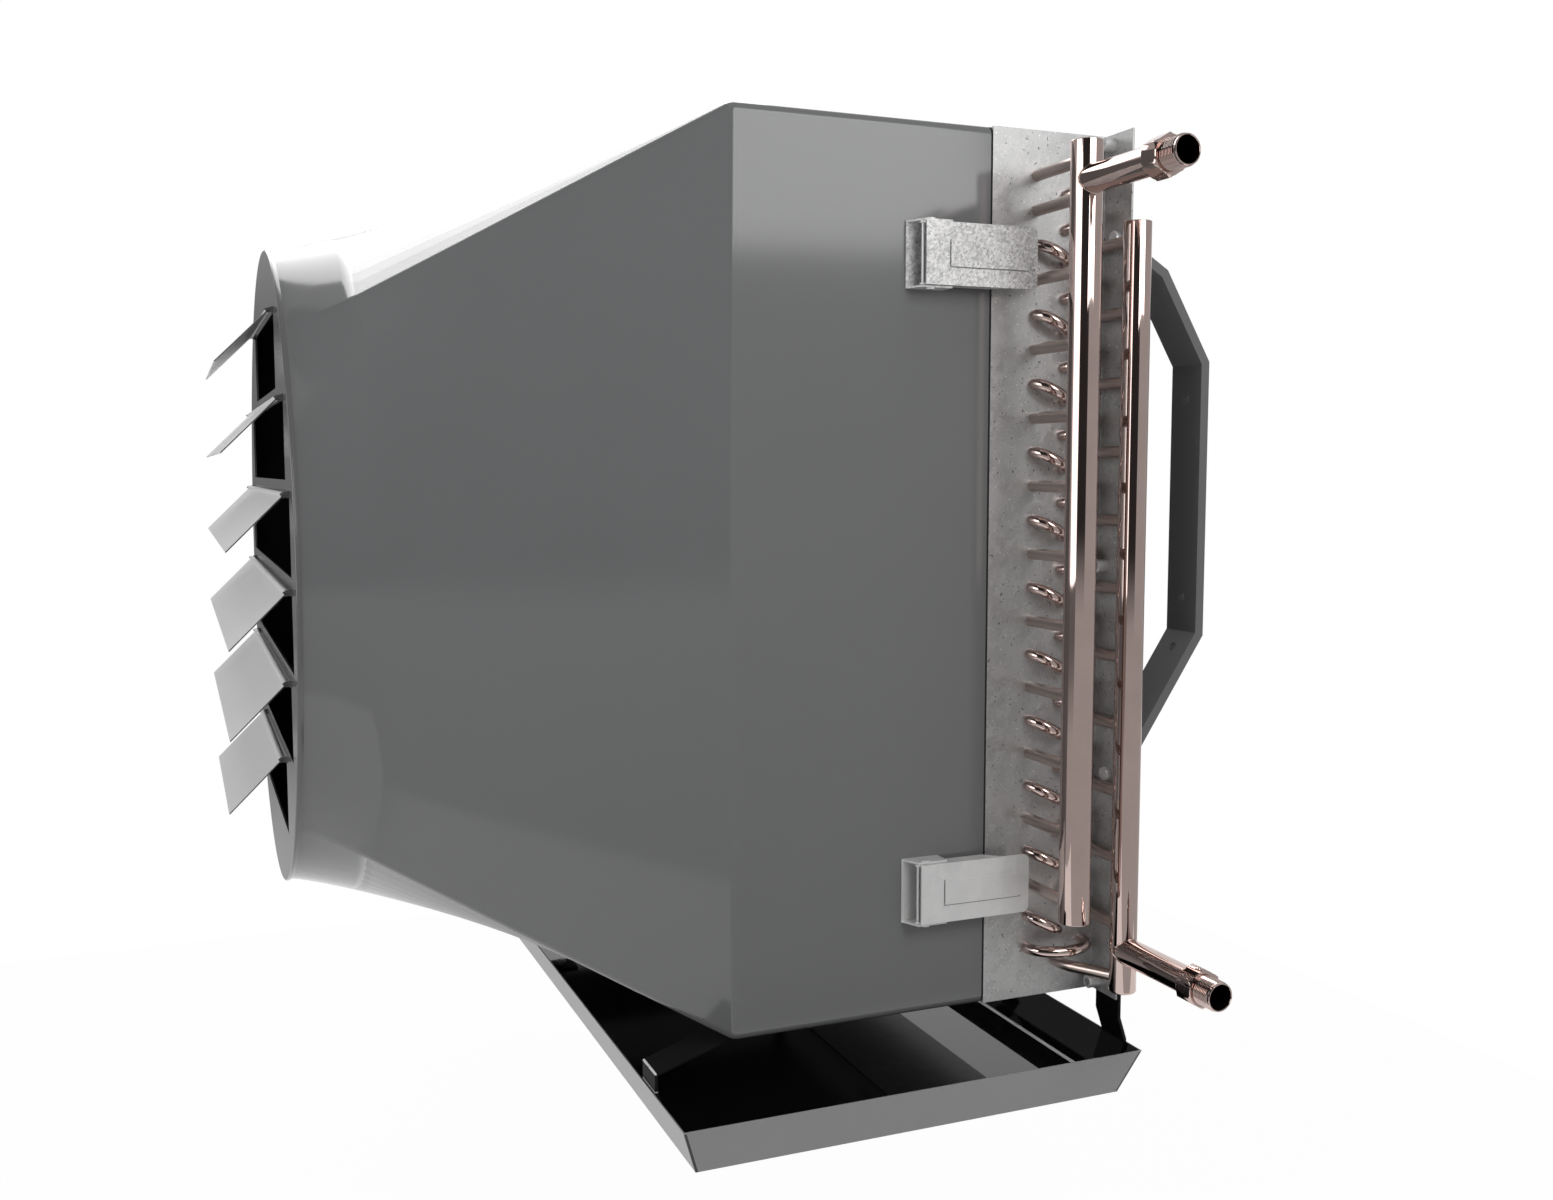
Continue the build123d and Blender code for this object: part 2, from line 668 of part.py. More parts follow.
# Latches. Along runs back from the lever's pivot, out runs away from the case.
y_pivot = y_seam - LATCH_TO_SEAM
crank_along = -CRANK * cos(radians(CRANK_TILT))
crank_out = PIVOT_STAND_OFF + CRANK * sin(radians(CRANK_TILT))
lever_inner = PIVOT_STAND_OFF + LEVER_OVER_PIVOT - LEVER_SHEET
skirt_low = PIVOT_STAND_OFF + LEVER_OVER_PIVOT - SKIRT_DEPTH
ear_inner_z = LEVER_HEIGHT / 2 + FIT
bail_side_z = LEVER_HEIGHT / 2 - LEVER_SHEET - FIT - BAIL_WIRE / 2
riser_back = BAIL_REACH - BAIL_WIRE / 2 - FIT
lip_inner = crank_out + BAIL_WIRE / 2 + FIT * 2


def latch_plane(z, sign):
    """Plane seen from above a latch: its own x is along, its own y is out of the case."""
    turned = (0, 0, -1) if sign > 0 else (0, 0, 1)
    return Plane(origin=(sign * half_width, y_pivot, z), x_dir=(0, 1, 0), z_dir=turned)


def latch_slab(sign, z_low, z_high):
    """The lower face to draw on, and the distance to extrude to reach the upper."""
    height = z_high - z_low
    return latch_plane(z_low, sign), (-height if sign > 0 else height)


for side, sign in SIDES.items():
    for level, z_latch in LEVELS.items():
        place = f"{level}_{side}"
        with BuildPart() as base:
            plane, height = latch_slab(
                sign, z_latch - ear_inner_z - BASE_SHEET, z_latch + ear_inner_z + BASE_SHEET
            )
            with BuildSketch(plane):
                with Locations((-BASE_FRONT, 0)):
                    Rectangle(BASE_FRONT + BASE_BACK, BASE_SHEET, align=(Align.MIN, Align.MIN))
            extrude(amount=height)
            for ear_low in (-ear_inner_z - BASE_SHEET, ear_inner_z):
                plane, height = latch_slab(sign, z_latch + ear_low, z_latch + ear_low + BASE_SHEET)
                ear_top = PIVOT_STAND_OFF + RIVET_DIAMETER
                with BuildSketch(plane):
                    with BuildLine():
                        Polyline(
                            (-BASE_FRONT, 0),
                            (-BASE_FRONT / 2, ear_top),
                            (BASE_BACK, ear_top),
                            (BASE_BACK, 0),
                            close=True,
                        )
                    make_face()
                    with Locations((0, PIVOT_STAND_OFF)):
                        Circle(RIVET_DIAMETER / 2 + RUNNING, mode=Mode.SUBTRACT)
                extrude(amount=height)
        finish(base, f"latch_base_{place}")

        with BuildPart() as lever:
            plane, height = latch_slab(sign, z_latch - LEVER_HEIGHT / 2, z_latch + LEVER_HEIGHT / 2)
            with BuildSketch(plane):
                with Locations((-LEVER_FRONT, lever_inner)):
                    Rectangle(
                        LEVER_FRONT + LEVER_REACH, LEVER_SHEET, align=(Align.MIN, Align.MIN)
                    )
            extrude(amount=height)
            tip_edges = lever.edges().filter_by(Axis.X).group_by(Axis.Y)[-1]
            fillet(tip_edges, LEVER_CORNER)
            emboss_plane = side_plane(sign * (half_width + lever_inner + LEVER_SHEET))
            with BuildSketch(emboss_plane):
                with Locations((y_pivot + EMBOSS_START + EMBOSS_LENGTH / 2, z_latch)):
                    RectangleRounded(EMBOSS_LENGTH, EMBOSS_HEIGHT, LEVER_CORNER / 2)
            extrude(amount=sign * EMBOSS_DEPTH)
            for skirt_z in (-LEVER_HEIGHT / 2, LEVER_HEIGHT / 2 - LEVER_SHEET):
                plane, height = latch_slab(
                    sign, z_latch + skirt_z, z_latch + skirt_z + LEVER_SHEET
                )
                with BuildSketch(plane):
                    with BuildLine():
                        Polyline(
                            (crank_along, lever_inner),
                            (crank_along, crank_out - NOSE_RADIUS),
                            (crank_along + NOSE_RADIUS, skirt_low),
                            (SKIRT_REACH - SKIRT_DEPTH, skirt_low),
                            (SKIRT_REACH, lever_inner),
                            close=True,
                        )
                    make_face()
                    with Locations((crank_along, crank_out)):
                        Circle(NOSE_RADIUS)
                        Circle(BAIL_WIRE / 2 + RUNNING, mode=Mode.SUBTRACT)
                    with Locations((0, PIVOT_STAND_OFF)):
                        Circle(RIVET_DIAMETER / 2 + RUNNING, mode=Mode.SUBTRACT)
                extrude(amount=height)
        finish(lever, f"latch_lever_{place}")

        with BuildPart() as bail:
            rod_half = LEVER_HEIGHT / 2 - FIT / 2
            plane, height = latch_slab(sign, z_latch - rod_half, z_latch + rod_half)
            with BuildSketch(plane):
                with Locations((crank_along, crank_out)):
                    Circle(BAIL_WIRE / 2)
            extrude(amount=height)
            hook_half = bail_side_z + BAIL_WIRE / 2
            plane, height = latch_slab(sign, z_latch - hook_half, z_latch + hook_half)
            with BuildSketch(plane):
                with Locations((BAIL_REACH, crank_out)):
                    Circle(BAIL_WIRE / 2)
            extrude(amount=height)
            for wire_z in (-bail_side_z, bail_side_z):
                wire_x = sign * (half_width + crank_out)
                start = (wire_x, y_pivot + crank_along, z_latch + wire_z)
                with BuildSketch(Plane(origin=start, z_dir=(0, 1, 0))):
                    Circle(BAIL_WIRE / 2)
                extrude(amount=BAIL_REACH - crank_along)
        finish(bail, f"latch_bail_{place}")

        with BuildPart() as keeper:
            plane, height = latch_slab(sign, z_latch - KEEPER_WIDTH / 2, z_latch + KEEPER_WIDTH / 2)
            riser_front = riser_back - KEEPER_SHEET
            with BuildSketch(plane):
                with Locations((riser_front, 0)):
                    Rectangle(KEEPER_FLANGE, KEEPER_SHEET, align=(Align.MIN, Align.MIN))
                    Rectangle(
                        KEEPER_SHEET, lip_inner + KEEPER_SHEET, align=(Align.MIN, Align.MIN)
                    )
                with Locations((riser_front, lip_inner)):
                    Rectangle(KEEPER_LIP, KEEPER_SHEET, align=(Align.MIN, Align.MIN))
            extrude(amount=height)
        finish(keeper, f"latch_keeper_{place}")

with BuildPart() as latch_rivets:
    for sign in SIDES.values():
        for z_latch in LEVELS.values():
            for end in (-1, 1):
                outer = ear_inner_z + BASE_SHEET
                inner = LEVER_HEIGHT / 2 - LEVER_SHEET
                with BuildSketch(Plane.XY.offset(z_latch + end * inner)):
                    with Locations((sign * (half_width + PIVOT_STAND_OFF), y_pivot)):
                        Circle(RIVET_DIAMETER / 2)
                extrude(amount=end * (outer - inner))
                with BuildSketch(Plane.XY.offset(z_latch + end * outer)):
                    with Locations((sign * (half_width + PIVOT_STAND_OFF), y_pivot)):
                        Circle(RIVET_HEAD / 2)
                extrude(amount=end * RIVET_HEAD_HEIGHT)
finish(latch_rivets, "latch_rivets")

# Drain pan: a tray with sloping walls
pan_front = y_front - PAN_FRONT_OVERHANG
pan_back = y_back + PAN_BACK_OVERHANG
pan_rim = z_bottom - PAN_DROP
pan_floor = pan_rim - PAN_DEPTH
pan_length = pan_back - pan_front
pan_y = (pan_front + pan_back) / 2
wall_length = hypot(PAN_DEPTH, PAN_SLOPE)
wall_inset = PAN_SHEET * wall_length / PAN_DEPTH
inner_floor = pan_floor + PAN_SHEET
drain_y = pan_back - PAN_SLOPE - 2 * DRAIN_DIAMETER


def pan_outline(z, inset):
    """Level outline of the pan at height z, with its walls moved in by the inset."""
    with BuildSketch(Plane.XY.offset(z)) as outline:
        with Locations((0, pan_y)):
            Rectangle(2 * (PAN_HALF_WIDTH - inset), pan_length - 2 * inset)
    return outline.sketch


def wall_shrink(z):
    """How far the pan's sloping wall has come in at height z."""
    return PAN_SLOPE * (pan_rim - z) / PAN_DEPTH


with BuildPart() as drain_pan:
    loft([pan_outline(pan_rim, 0), pan_outline(pan_floor, PAN_SLOPE)], ruled=True)
    inner_shrink = wall_inset + wall_shrink(inner_floor)
    inner_sections = [pan_outline(pan_rim, wall_inset), pan_outline(inner_floor, inner_shrink)]
    loft(inner_sections, ruled=True, mode=Mode.SUBTRACT)
    with BuildSketch(Plane.XY.offset(inner_floor)):
        with Locations((0, drain_y)):
            Circle(DRAIN_BORE / 2)
    extrude(amount=-PAN_SHEET, mode=Mode.SUBTRACT)
finish(drain_pan, "drain_pan")

with BuildPart() as drain_spout:
    with BuildSketch(Plane.XY.offset(pan_floor)):
        with Locations((0, drain_y)):
            Circle(DRAIN_DIAMETER / 2)
            Circle(DRAIN_BORE / 2, mode=Mode.SUBTRACT)
    extrude(amount=-DRAIN_LENGTH)
finish(drain_spout, "drain_spout")


def bent_strip(points, thickness):
    """Section of a bent flat strip: the line of points and its mitred parallel on the left,
    or on the right where the thickness is negative."""
    line = [Vector(*point) for point in points]
    runs = [(end - start).normalized() for start, end in zip(line, line[1:])]
    parallel = []
    for point, before, after in zip(line, [runs[0], *runs], [*runs, runs[-1]]):
        normal = Vector(-before.Y, before.X)
        mitre = Vector(-before.Y - after.Y, before.X + after.X).normalized()
        parallel.append(point + mitre * (thickness / mitre.dot(normal)))
    with BuildLine() as outline:
        Polyline(*line, *reversed(parallel), close=True)
    make_face(outline.edges())


grip_shrink = PAN_SLOPE * STRAP_GRIP / PAN_DEPTH
front_wall = pan_front + wall_inset + SEAT
back_wall = pan_back - wall_inset - SEAT
front_strap_x = half_width - FRONT_STRAP_INSET
rear_strap_x = half_width + REAR_STRAP_OUTSET
front_foot_y = y_front + 2 * STRAP_SHEET

for side, sign in SIDES.items():
    with BuildPart() as front_strap:
        with BuildSketch(side_plane(sign * front_strap_x - STRAP_WIDTH / 2)):
            bent_strip(
                (
                    (front_foot_y + STRAP_FOOT, z_bottom),
                    (front_foot_y, z_bottom),
                    (front_wall, pan_rim + STRAP_RISE),
                    (front_wall, pan_rim),
                    (front_wall + grip_shrink, pan_rim - STRAP_GRIP),
                ),
                STRAP_SHEET,
            )
        extrude(amount=STRAP_WIDTH)
        with BuildSketch(Plane.XY.offset(z_bottom)):
            with Locations((sign * front_strap_x, front_foot_y + STRAP_FOOT / 2)):
                Circle(SCREW_DIAMETER / 2 + SEAT)
        extrude(amount=-STRAP_SHEET, mode=Mode.SUBTRACT)
    finish(front_strap, f"front_strap_{side}")

    with BuildPart() as rear_strap:
        with BuildSketch(side_plane(sign * rear_strap_x - STRAP_WIDTH / 2)):
            bent_strip(
                (
                    (y_back, z_bottom + STRAP_FOOT / 2),
                    (y_back, z_bottom - STRAP_RISE),
                    (back_wall - STRAP_SHEET, pan_rim + STRAP_SHEET),
                    (back_wall - STRAP_SHEET, pan_rim),
                    (back_wall - STRAP_SHEET - grip_shrink, pan_rim - STRAP_GRIP),
                ),
                STRAP_SHEET,
            )
        extrude(amount=STRAP_WIDTH)
        with BuildSketch(across(y_back)):
            with Locations((sign * flange_screw_x, SCREW_EDGE - CASE_HEIGHT / 2)):
                Circle(SCREW_DIAMETER / 2)
        extrude(amount=-STRAP_SHEET, mode=Mode.SUBTRACT)
    finish(rear_strap, f"rear_strap_{side}")

# Screws through the back flanges, the brackets' feet and the front straps
with BuildPart() as flange_screws:
    for sign in SIDES.values():
        for z in flange_screw_heights(sign):
            behind = STRAP_SHEET if z < z_mid - SCREW_EDGE else 0
            place = (sign * flange_screw_x, z - z_mid)
            with BuildSketch(across(y_back - END_PLATE)):
                with Locations(place):
                    Circle(SCREW_HEAD / 2)
            extrude(amount=STUD_LENGTH)
            with BuildSketch(across(y_back - END_PLATE - STUD_LENGTH)):
                with Locations(place):
                    Circle(SCREW_DIAMETER / 2)
            extrude(amount=-STUD_BORE, mode=Mode.SUBTRACT)
            with BuildSketch(across(y_back + behind)):
                with Locations(place):
                    Circle(SCREW_DIAMETER / 2)
            extrude(amount=END_PLATE + behind)
            with BuildSketch(across(y_back + behind + NUT_HEIGHT)):
                with Locations(place):
                    RegularPolygon(NUT_ACROSS_FLATS / 2, 6, major_radius=False)
            extrude(amount=NUT_HEIGHT)
finish(flange_screws, "flange_screws")

with BuildPart() as bracket_bolts:
    for sign in SIDES.values():
        for z in foot_bolt_heights:
            place = (sign * bracket_x, z - z_mid)
            with BuildSketch(across(y_back - END_PLATE)):
                with Locations(place):
                    RegularPolygon(NUT_ACROSS_FLATS / 2, 6, major_radius=False)
            extrude(amount=SCREW_HEAD_HEIGHT)
            with BuildSketch(across(foot_y)):
                with Locations(place):
                    Circle(SCREW_DIAMETER / 2)
            extrude(amount=END_PLATE + BRACKET_BAR)
            with BuildSketch(across(foot_y + NUT_HEIGHT)):
                with Locations(place):
                    RegularPolygon(NUT_ACROSS_FLATS / 2, 6, major_radius=False)
            extrude(amount=NUT_HEIGHT)
finish(bracket_bolts, "bracket_bolts")

with BuildPart() as strap_screws:
    for sign in SIDES.values():
        place = (sign * front_strap_x, front_foot_y + STRAP_FOOT / 2)
        with BuildSketch(Plane.XY.offset(z_bottom - STRAP_SHEET)):
            with Locations(place):
                RegularPolygon(NUT_ACROSS_FLATS / 2, 6, major_radius=False)
        extrude(amount=-SCREW_HEAD_HEIGHT)
        with BuildSketch(Plane.XY.offset(z_bottom)):
            with Locations(place):
                Circle(SCREW_DIAMETER / 2)
        extrude(amount=-STRAP_SHEET)
finish(strap_screws, "strap_screws")

# Wall brackets: flat bar bent five times, drawn along the face that meets the wall
for side, sign in SIDES.items():
    x_edge = sign * bracket_x - BRACKET_WIDTH / 2
    with BuildPart() as wall_bracket:
        with BuildSketch(side_plane(x_edge)):
            bent_strip(
                (
                    (foot_y, upper_foot_z + BRACKET_FOOT),
                    (foot_y, upper_foot_z),
                    (-UPPER_LEG_REACH, WEB_HALF + upper_leg_rise),
                    (0, WEB_HALF),
                    (0, -WEB_HALF),
                    (foot_y, lower_foot_z),
                    (foot_y, lower_foot_z - BRACKET_FOOT),
                ),
                -BRACKET_BAR,
            )
        extrude(amount=BRACKET_WIDTH)
        with BuildSketch(Plane(origin=(sign * bracket_x, 0, 0), x_dir=(1, 0, 0), z_dir=(0, -1, 0))):
            with GridLocations(1, WALL_BOLT_SPACING, 1, 2):
                Circle(WALL_BOLT_HOLE / 2)
        extrude(amount=BRACKET_BAR, mode=Mode.SUBTRACT)
        with BuildSketch(across(foot_y)):
            with Locations(*[(sign * bracket_x, z - z_mid) for z in foot_bolt_heights]):
                Circle(SCREW_DIAMETER / 2)
        extrude(amount=BRACKET_BAR, mode=Mode.SUBTRACT)
        slope = radians(LOWER_LEG_ANGLE)
        leg_normal = Vector(0, -sin(slope), cos(slope))
        leg_point = Vector(
            sign * bracket_x, -SLANT_HOLE_DROP / tan(slope), -WEB_HALF - SLANT_HOLE_DROP
        )
        with BuildSketch(Plane(origin=leg_point, x_dir=(1, 0, 0), z_dir=leg_normal)):
            Circle(SLANT_HOLE / 2)
        extrude(amount=BRACKET_BAR, mode=Mode.SUBTRACT)
    finish(wall_bracket, f"wall_bracket_{side}")
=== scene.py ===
import json
from math import atan2, cos, pi, radians, sin, sqrt

import bmesh
import bpy
from mathutils import Matrix, Vector


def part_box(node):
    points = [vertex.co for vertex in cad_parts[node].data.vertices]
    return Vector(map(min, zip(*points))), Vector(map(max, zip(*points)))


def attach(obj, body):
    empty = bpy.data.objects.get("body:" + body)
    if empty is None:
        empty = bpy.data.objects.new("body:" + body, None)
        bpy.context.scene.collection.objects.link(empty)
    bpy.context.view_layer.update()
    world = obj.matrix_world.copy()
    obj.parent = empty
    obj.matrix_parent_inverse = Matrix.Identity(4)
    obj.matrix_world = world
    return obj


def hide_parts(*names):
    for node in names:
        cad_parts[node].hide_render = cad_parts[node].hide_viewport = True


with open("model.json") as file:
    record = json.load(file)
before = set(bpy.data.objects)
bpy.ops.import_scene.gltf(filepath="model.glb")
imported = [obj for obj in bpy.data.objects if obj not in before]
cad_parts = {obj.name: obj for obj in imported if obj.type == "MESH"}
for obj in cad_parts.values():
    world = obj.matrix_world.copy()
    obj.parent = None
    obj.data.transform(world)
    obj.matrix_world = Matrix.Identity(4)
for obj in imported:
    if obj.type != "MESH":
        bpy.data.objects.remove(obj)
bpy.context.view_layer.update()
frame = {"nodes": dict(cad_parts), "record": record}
nodes = frame["nodes"]

# Hot water unit heater on two wall brackets. Metres; X across the air path,
# Y back to the wall, Z up. Near is the +X side, where the pipe headers are.
MM = 0.001
BODY = "unit"


def low(node):
    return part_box(node)[0]


def high(node):
    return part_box(node)[1]


def middle(node):
    return (low(node) + high(node)) / 2


def half_width(node):
    return (high(node).x - low(node).x) / 2


# Sizes of the sheet metal
SHEET = 1.5 * MM
PLATE_SHEET = 2 * MM
CASE_CORNER = 8 * MM
BOX_DEPTH = 251 * MM
CONE_DEPTH = 357 * MM
NECK_DEPTH = 12 * MM
FOLD_RADIUS = 5 * MM
NECK_BLEND = 62 * MM
NECK_INSET = 1.7 * MM
PAN_SLOPE = 16 * MM
STRAP_RISE = 18 * MM
STRAP_SHEET = 3 * MM
HINGE_DROP = 1.9 * MM

# Sizes of the tubes
TUBE_RADIUS = 4.75 * MM
NEAR_TUBE_RADIUS = 5.4 * MM
TUBE_PITCH = 31.75 * MM
TOP_TUBE_DROP = 41 * MM
TUBES_PER_ROW = 24
LAST_TUBE = TUBES_PER_ROW - 1
BEND_STRAIGHT = 2 * MM
BEND_DEPTH = 0.72
BRANCH_RADIUS = 12.7 * MM
BRANCH_WALL = 1.25 * MM

# Places read from the frame
side_x = high("seam_gasket").x
case_top = high("seam_gasket").z
case_bottom = low("seam_gasket").z
case_middle = (case_top + case_bottom) / 2
seam_front = low("seam_gasket").y
casing_back = high("coil_top_sheet").y
neck_end = low("housing_shell").y
plate_front = neck_end - PLATE_SHEET

LOUVRES = [f"louvre_{number}" for number in range(1, 7)]
hinge_levels = [high(louvre).z - HINGE_DROP for louvre in LOUVRES]

front_row = middle("front_header").y
row_y = [front_row + row * TUBE_PITCH for row in range(3)]


def tube_z(row, number):
    stagger = TUBE_PITCH / 2 if row % 2 else 0
    return case_top - TOP_TUBE_DROP - number * TUBE_PITCH - stagger


# Shader maths
class Signal:
    """A socket that adds its own Math nodes when it is used in an expression."""

    def __init__(self, paint, socket):
        self.paint = paint
        self.socket = socket

    def maths(self, operation, *values):
        return self.paint.node("ShaderNodeMath", {"operation": operation}, values)

    def __add__(self, other):
        return self.maths("ADD", self, other)

    def __sub__(self, other):
        return self.maths("SUBTRACT", self, other)

    def __mul__(self, other):
        return self.maths("MULTIPLY", self, other)

    def __rsub__(self, other):
        return self.maths("SUBTRACT", other, self)

    def __abs__(self):
        return self.maths("ABSOLUTE", self)

    def __gt__(self, other):
        return self.maths("GREATER_THAN", self, other)

    def __lt__(self, other):
        return self.maths("LESS_THAN", self, other)

    def most(self, other):
        return self.maths("MAXIMUM", self, other)

    def least(self, other):
        return self.maths("MINIMUM", self, other)

    def eased(self, start, end):
        """0 before start, 1 after end and smooth between them."""
        settings = {"interpolation_type": "SMOOTHSTEP"}
        values = {"Value": self, "From Min": start, "From Max": end}
        return self.paint.node("ShaderNodeMapRange", settings, values)

    __radd__ = __add__
    __rmul__ = __mul__


class Paint:
    """A node tree under construction: one method adds a node, sets it up and links it."""

    def __init__(self, owner):
        self.tree = owner.node_tree
        self.tree.nodes.clear()
        self.place = None

    def node(self, kind, settings=None, values=(), output=0):
        node = self.tree.nodes.new(kind)
        for name, value in (settings or {}).items():
            setattr(node, name, value)
        pairs = values.items() if isinstance(values, dict) else enumerate(values)
        for key, value in pairs:
            if isinstance(value, Signal):
                self.tree.links.new(value.socket, node.inputs[key])
            else:
                node.inputs[key].default_value = value
        return Signal(self, node.outputs[output]) if len(node.outputs) else node

    def where(self):
        """Place on the piece, which is also its place on the object."""
        if self.place is None:
            self.place = self.node("ShaderNodeTexCoord", output="Object")
        return self.place

    def axes(self):
        split = self.node("ShaderNodeSeparateXYZ", {}, [self.where()])
        return [Signal(self, socket) for socket in split.socket.node.outputs]

    def facing_x(self):
        """How far the surface faces along X on its own piece, from -1 to 1."""
        normal = self.node("ShaderNodeTexCoord", output="Normal")
        return self.node("ShaderNodeSeparateXYZ", {}, [normal])

    def stretched(self, x, y, z):
        return self.node("ShaderNodeVectorMath", {"operation": "MULTIPLY"}, [self.where(), (x, y, z)])

    def noise(self, scale, detail=3.0, roughness=0.5, vector=None):
        values = {"Vector": vector or self.where(), "Scale": scale, "Detail": detail, "Roughness": roughness}
        return self.node("ShaderNodeTexNoise", {}, values)

    def cells(self, scale, output="Color", vector=None):
        values = {"Vector": vector or self.where(), "Scale": scale}
        return self.node("ShaderNodeTexVoronoi", {}, values, output)

    def mix(self, factor, first, second):
        node = self.tree.nodes.new("ShaderNodeMix")
        node.data_type = "RGBA"
        for key, value in (("Factor_Float", factor), ("A_Color", first), ("B_Color", second)):
            socket = next(s for s in node.inputs if s.identifier == key)
            if isinstance(value, Signal):
                self.tree.links.new(value.socket, socket)
            else:
                socket.default_value = value
        out = next(s for s in node.outputs if s.identifier == "Result_Color")
        return Signal(self, out)

    def bump(self, height, distance):
        return self.node("ShaderNodeBump", {}, {"Height": height, "Distance": distance, "Strength": 1.0})

    def surface(self, **values):
        """Ends the tree in one Principled shader; a name's words are joined by underscores."""
        named = {key.replace("_", " "): value for key, value in values.items()}
        shader = self.node("ShaderNodeBsdfPrincipled", {}, named)
        self.node("ShaderNodeOutputMaterial", {}, [shader])


def new_paint(name):
    material = bpy.data.materials.new(name)
    material.use_nodes = True
    return material, Paint(material)


def grey(value, warmth=0.0):
    return (value * (1 + warmth), value, value * (1 - warmth), 1.0)


def window(value, start, end, soft):
    """1 between start and end, with soft edges."""
    return value.eased(start - soft, start + soft) * (1 - value.eased(end - soft, end + soft))


# Finishes
def enamel(name, level, roughness, warmth=0.0, grain=0.4, shine=0.5, painted_shade_ends=False):
    """Stoved enamel on sheet: faint clouding, fine orange peel, a little dust, and if asked painted shade on
    the ends that face along X.
    """
    material, paint = new_paint(name)
    clouds = paint.noise(5.0, 4.0, 0.6)
    peel = paint.noise(420.0, 2.0, 0.5)
    dust = paint.noise(900.0, 1.0, 0.6).eased(0.68, 0.8)
    colour = paint.mix(clouds, grey(level * 0.96, warmth), grey(level * 1.04, warmth))
    colour = paint.mix(dust * 0.12, colour, grey(min(level * 1.8 + 0.05, 0.8)))
    if painted_shade_ends:
        # painted shade: faces turned along X are darkened to 0.12 of the level
        colour = paint.mix(abs(paint.facing_x()) > 0.7, colour, grey(level * 0.12))
    paint.surface(
        Base_Color=colour,
        Roughness=clouds * 0.05 + (roughness - 0.025) + dust * 0.1,
        Specular_IOR_Level=shine,
        Normal=paint.bump(peel, 0.00002 * grain),
    )
    return material


def emboss_painted_shade(paint, lever):
    """Painted shade: a dark line in the angle round the raised panel of a lever, only on its lower and front
    sides, which face away from the light.
    """
    y, z = paint.axes()[1:]
    centre_y, centre_z = high(lever).y - 50 * MM, middle(lever).z
    half_y, half_z, overlap = 40 * MM, 11.5 * MM, 1 * MM
    past = (abs(y - centre_y) - half_y).most(abs(z - centre_z) - half_z)
    ring = window(past, -0.3 * MM, 0.8 * MM, 0.25 * MM)
    lower = z < centre_z - half_z + overlap
    front = y < centre_y - half_y + overlap
    return ring * (lower + front).least(1.0)


def spangled_zinc(name, level, crystal, contrast, roughness, specks, clouding, metallic, lever=None):
    """Hot-dip zinc: angular crystals of different brightness, cloudy patches, small dark specks; with a
    lever, painted shade round its raised panel.
    """
    material, paint = new_paint(name)
    drift = paint.noise(crystal * 1.7, 2.0, 0.6)
    reach = (2.5 / crystal,) * 3
    wander = paint.node("ShaderNodeVectorMath", {"operation": "MULTIPLY_ADD"}, [drift, reach, paint.where()])
    crystals = paint.node("ShaderNodeSeparateColor", {}, [paint.cells(crystal, "Color", wander)])
    patches = paint.noise(34.0, 6.0, 0.7)
    pits = paint.noise(300.0, 2.0, 0.55).eased(0.66, 0.73) * specks
    bright = paint.noise(520.0, 1.0, 0.5).eased(0.7, 0.76) * specks
    tone = (crystals - 0.5) * contrast + (patches - 0.5) * clouding + 0.5
    colour = paint.mix(tone, grey(level * 0.55, -0.01), grey(level * 1.45, 0.01))
    colour = paint.mix(pits, colour, grey(level * 0.3))
    colour = paint.mix(bright, colour, grey(min(level * 1.9, 0.9)))
    if lever:
        # painted shade: darkens the angle round the lever's raised panel on its lower and front sides
        colour = paint.mix(emboss_painted_shade(paint, lever) * 0.75, colour, grey(level * 0.2))
    paint.surface(
        Base_Color=colour,
        Metallic=metallic,
        Roughness=(crystals - 0.5) * 0.08 + patches * 0.08 + (roughness - 0.04),
        Normal=paint.bump(crystals * 0.5 + patches * 0.5, 0.00002),
    )
    return material


def drawn_copper(name, colour, roughness, tarnished):
    """Bright drawn tube, dulled and browner in patches, with fine lengthwise draw lines."""
    material, paint = new_paint(name)
    tarnish = paint.noise(14.0, 5.0, 0.65).eased(0.3, 0.85)
    smears = paint.noise(55.0, 3.0, 0.6)
    lines = paint.noise(60.0, 2.0, 0.5, paint.stretched(6.0, 6.0, 0.4))
    dull = tuple(c * 0.6 for c in colour[:3]) + (1.0,)
    paint.surface(
        Base_Color=paint.mix(tarnish * tarnished, colour, dull),
        Metallic=1.0,
        Roughness=smears * 0.05 + tarnish * 0.04 + (roughness - 0.04),
        Normal=paint.bump(lines, 0.000004),
    )
    return material


def plain_metal(name, level, roughness, metallic=1.0):
    """Plain plated or rolled metal with faint fine marks."""
    material, paint = new_paint(name)
    streaks = paint.noise(240.0, 3.0, 0.6)
    marks = paint.noise(28.0, 4.0, 0.6)
    paint.surface(
        Base_Color=paint.mix(marks, grey(level * 0.88), grey(level * 1.08)),
        Metallic=metallic,
        Roughness=streaks * 0.14 + marks * 0.08 + (roughness - 0.11),
        Normal=paint.bump(streaks, 0.00003),
    )
    return material


def foam(name):
    """Black closed-cell foam with a fine cellular skin."""
    material, paint = new_paint(name)
    paint.surface(
        Base_Color=paint.mix(paint.noise(60.0), grey(0.006), grey(0.016)),
        Roughness=0.9,
        Normal=paint.bump(paint.cells(700.0, "Distance"), 0.0003),
    )
    return material


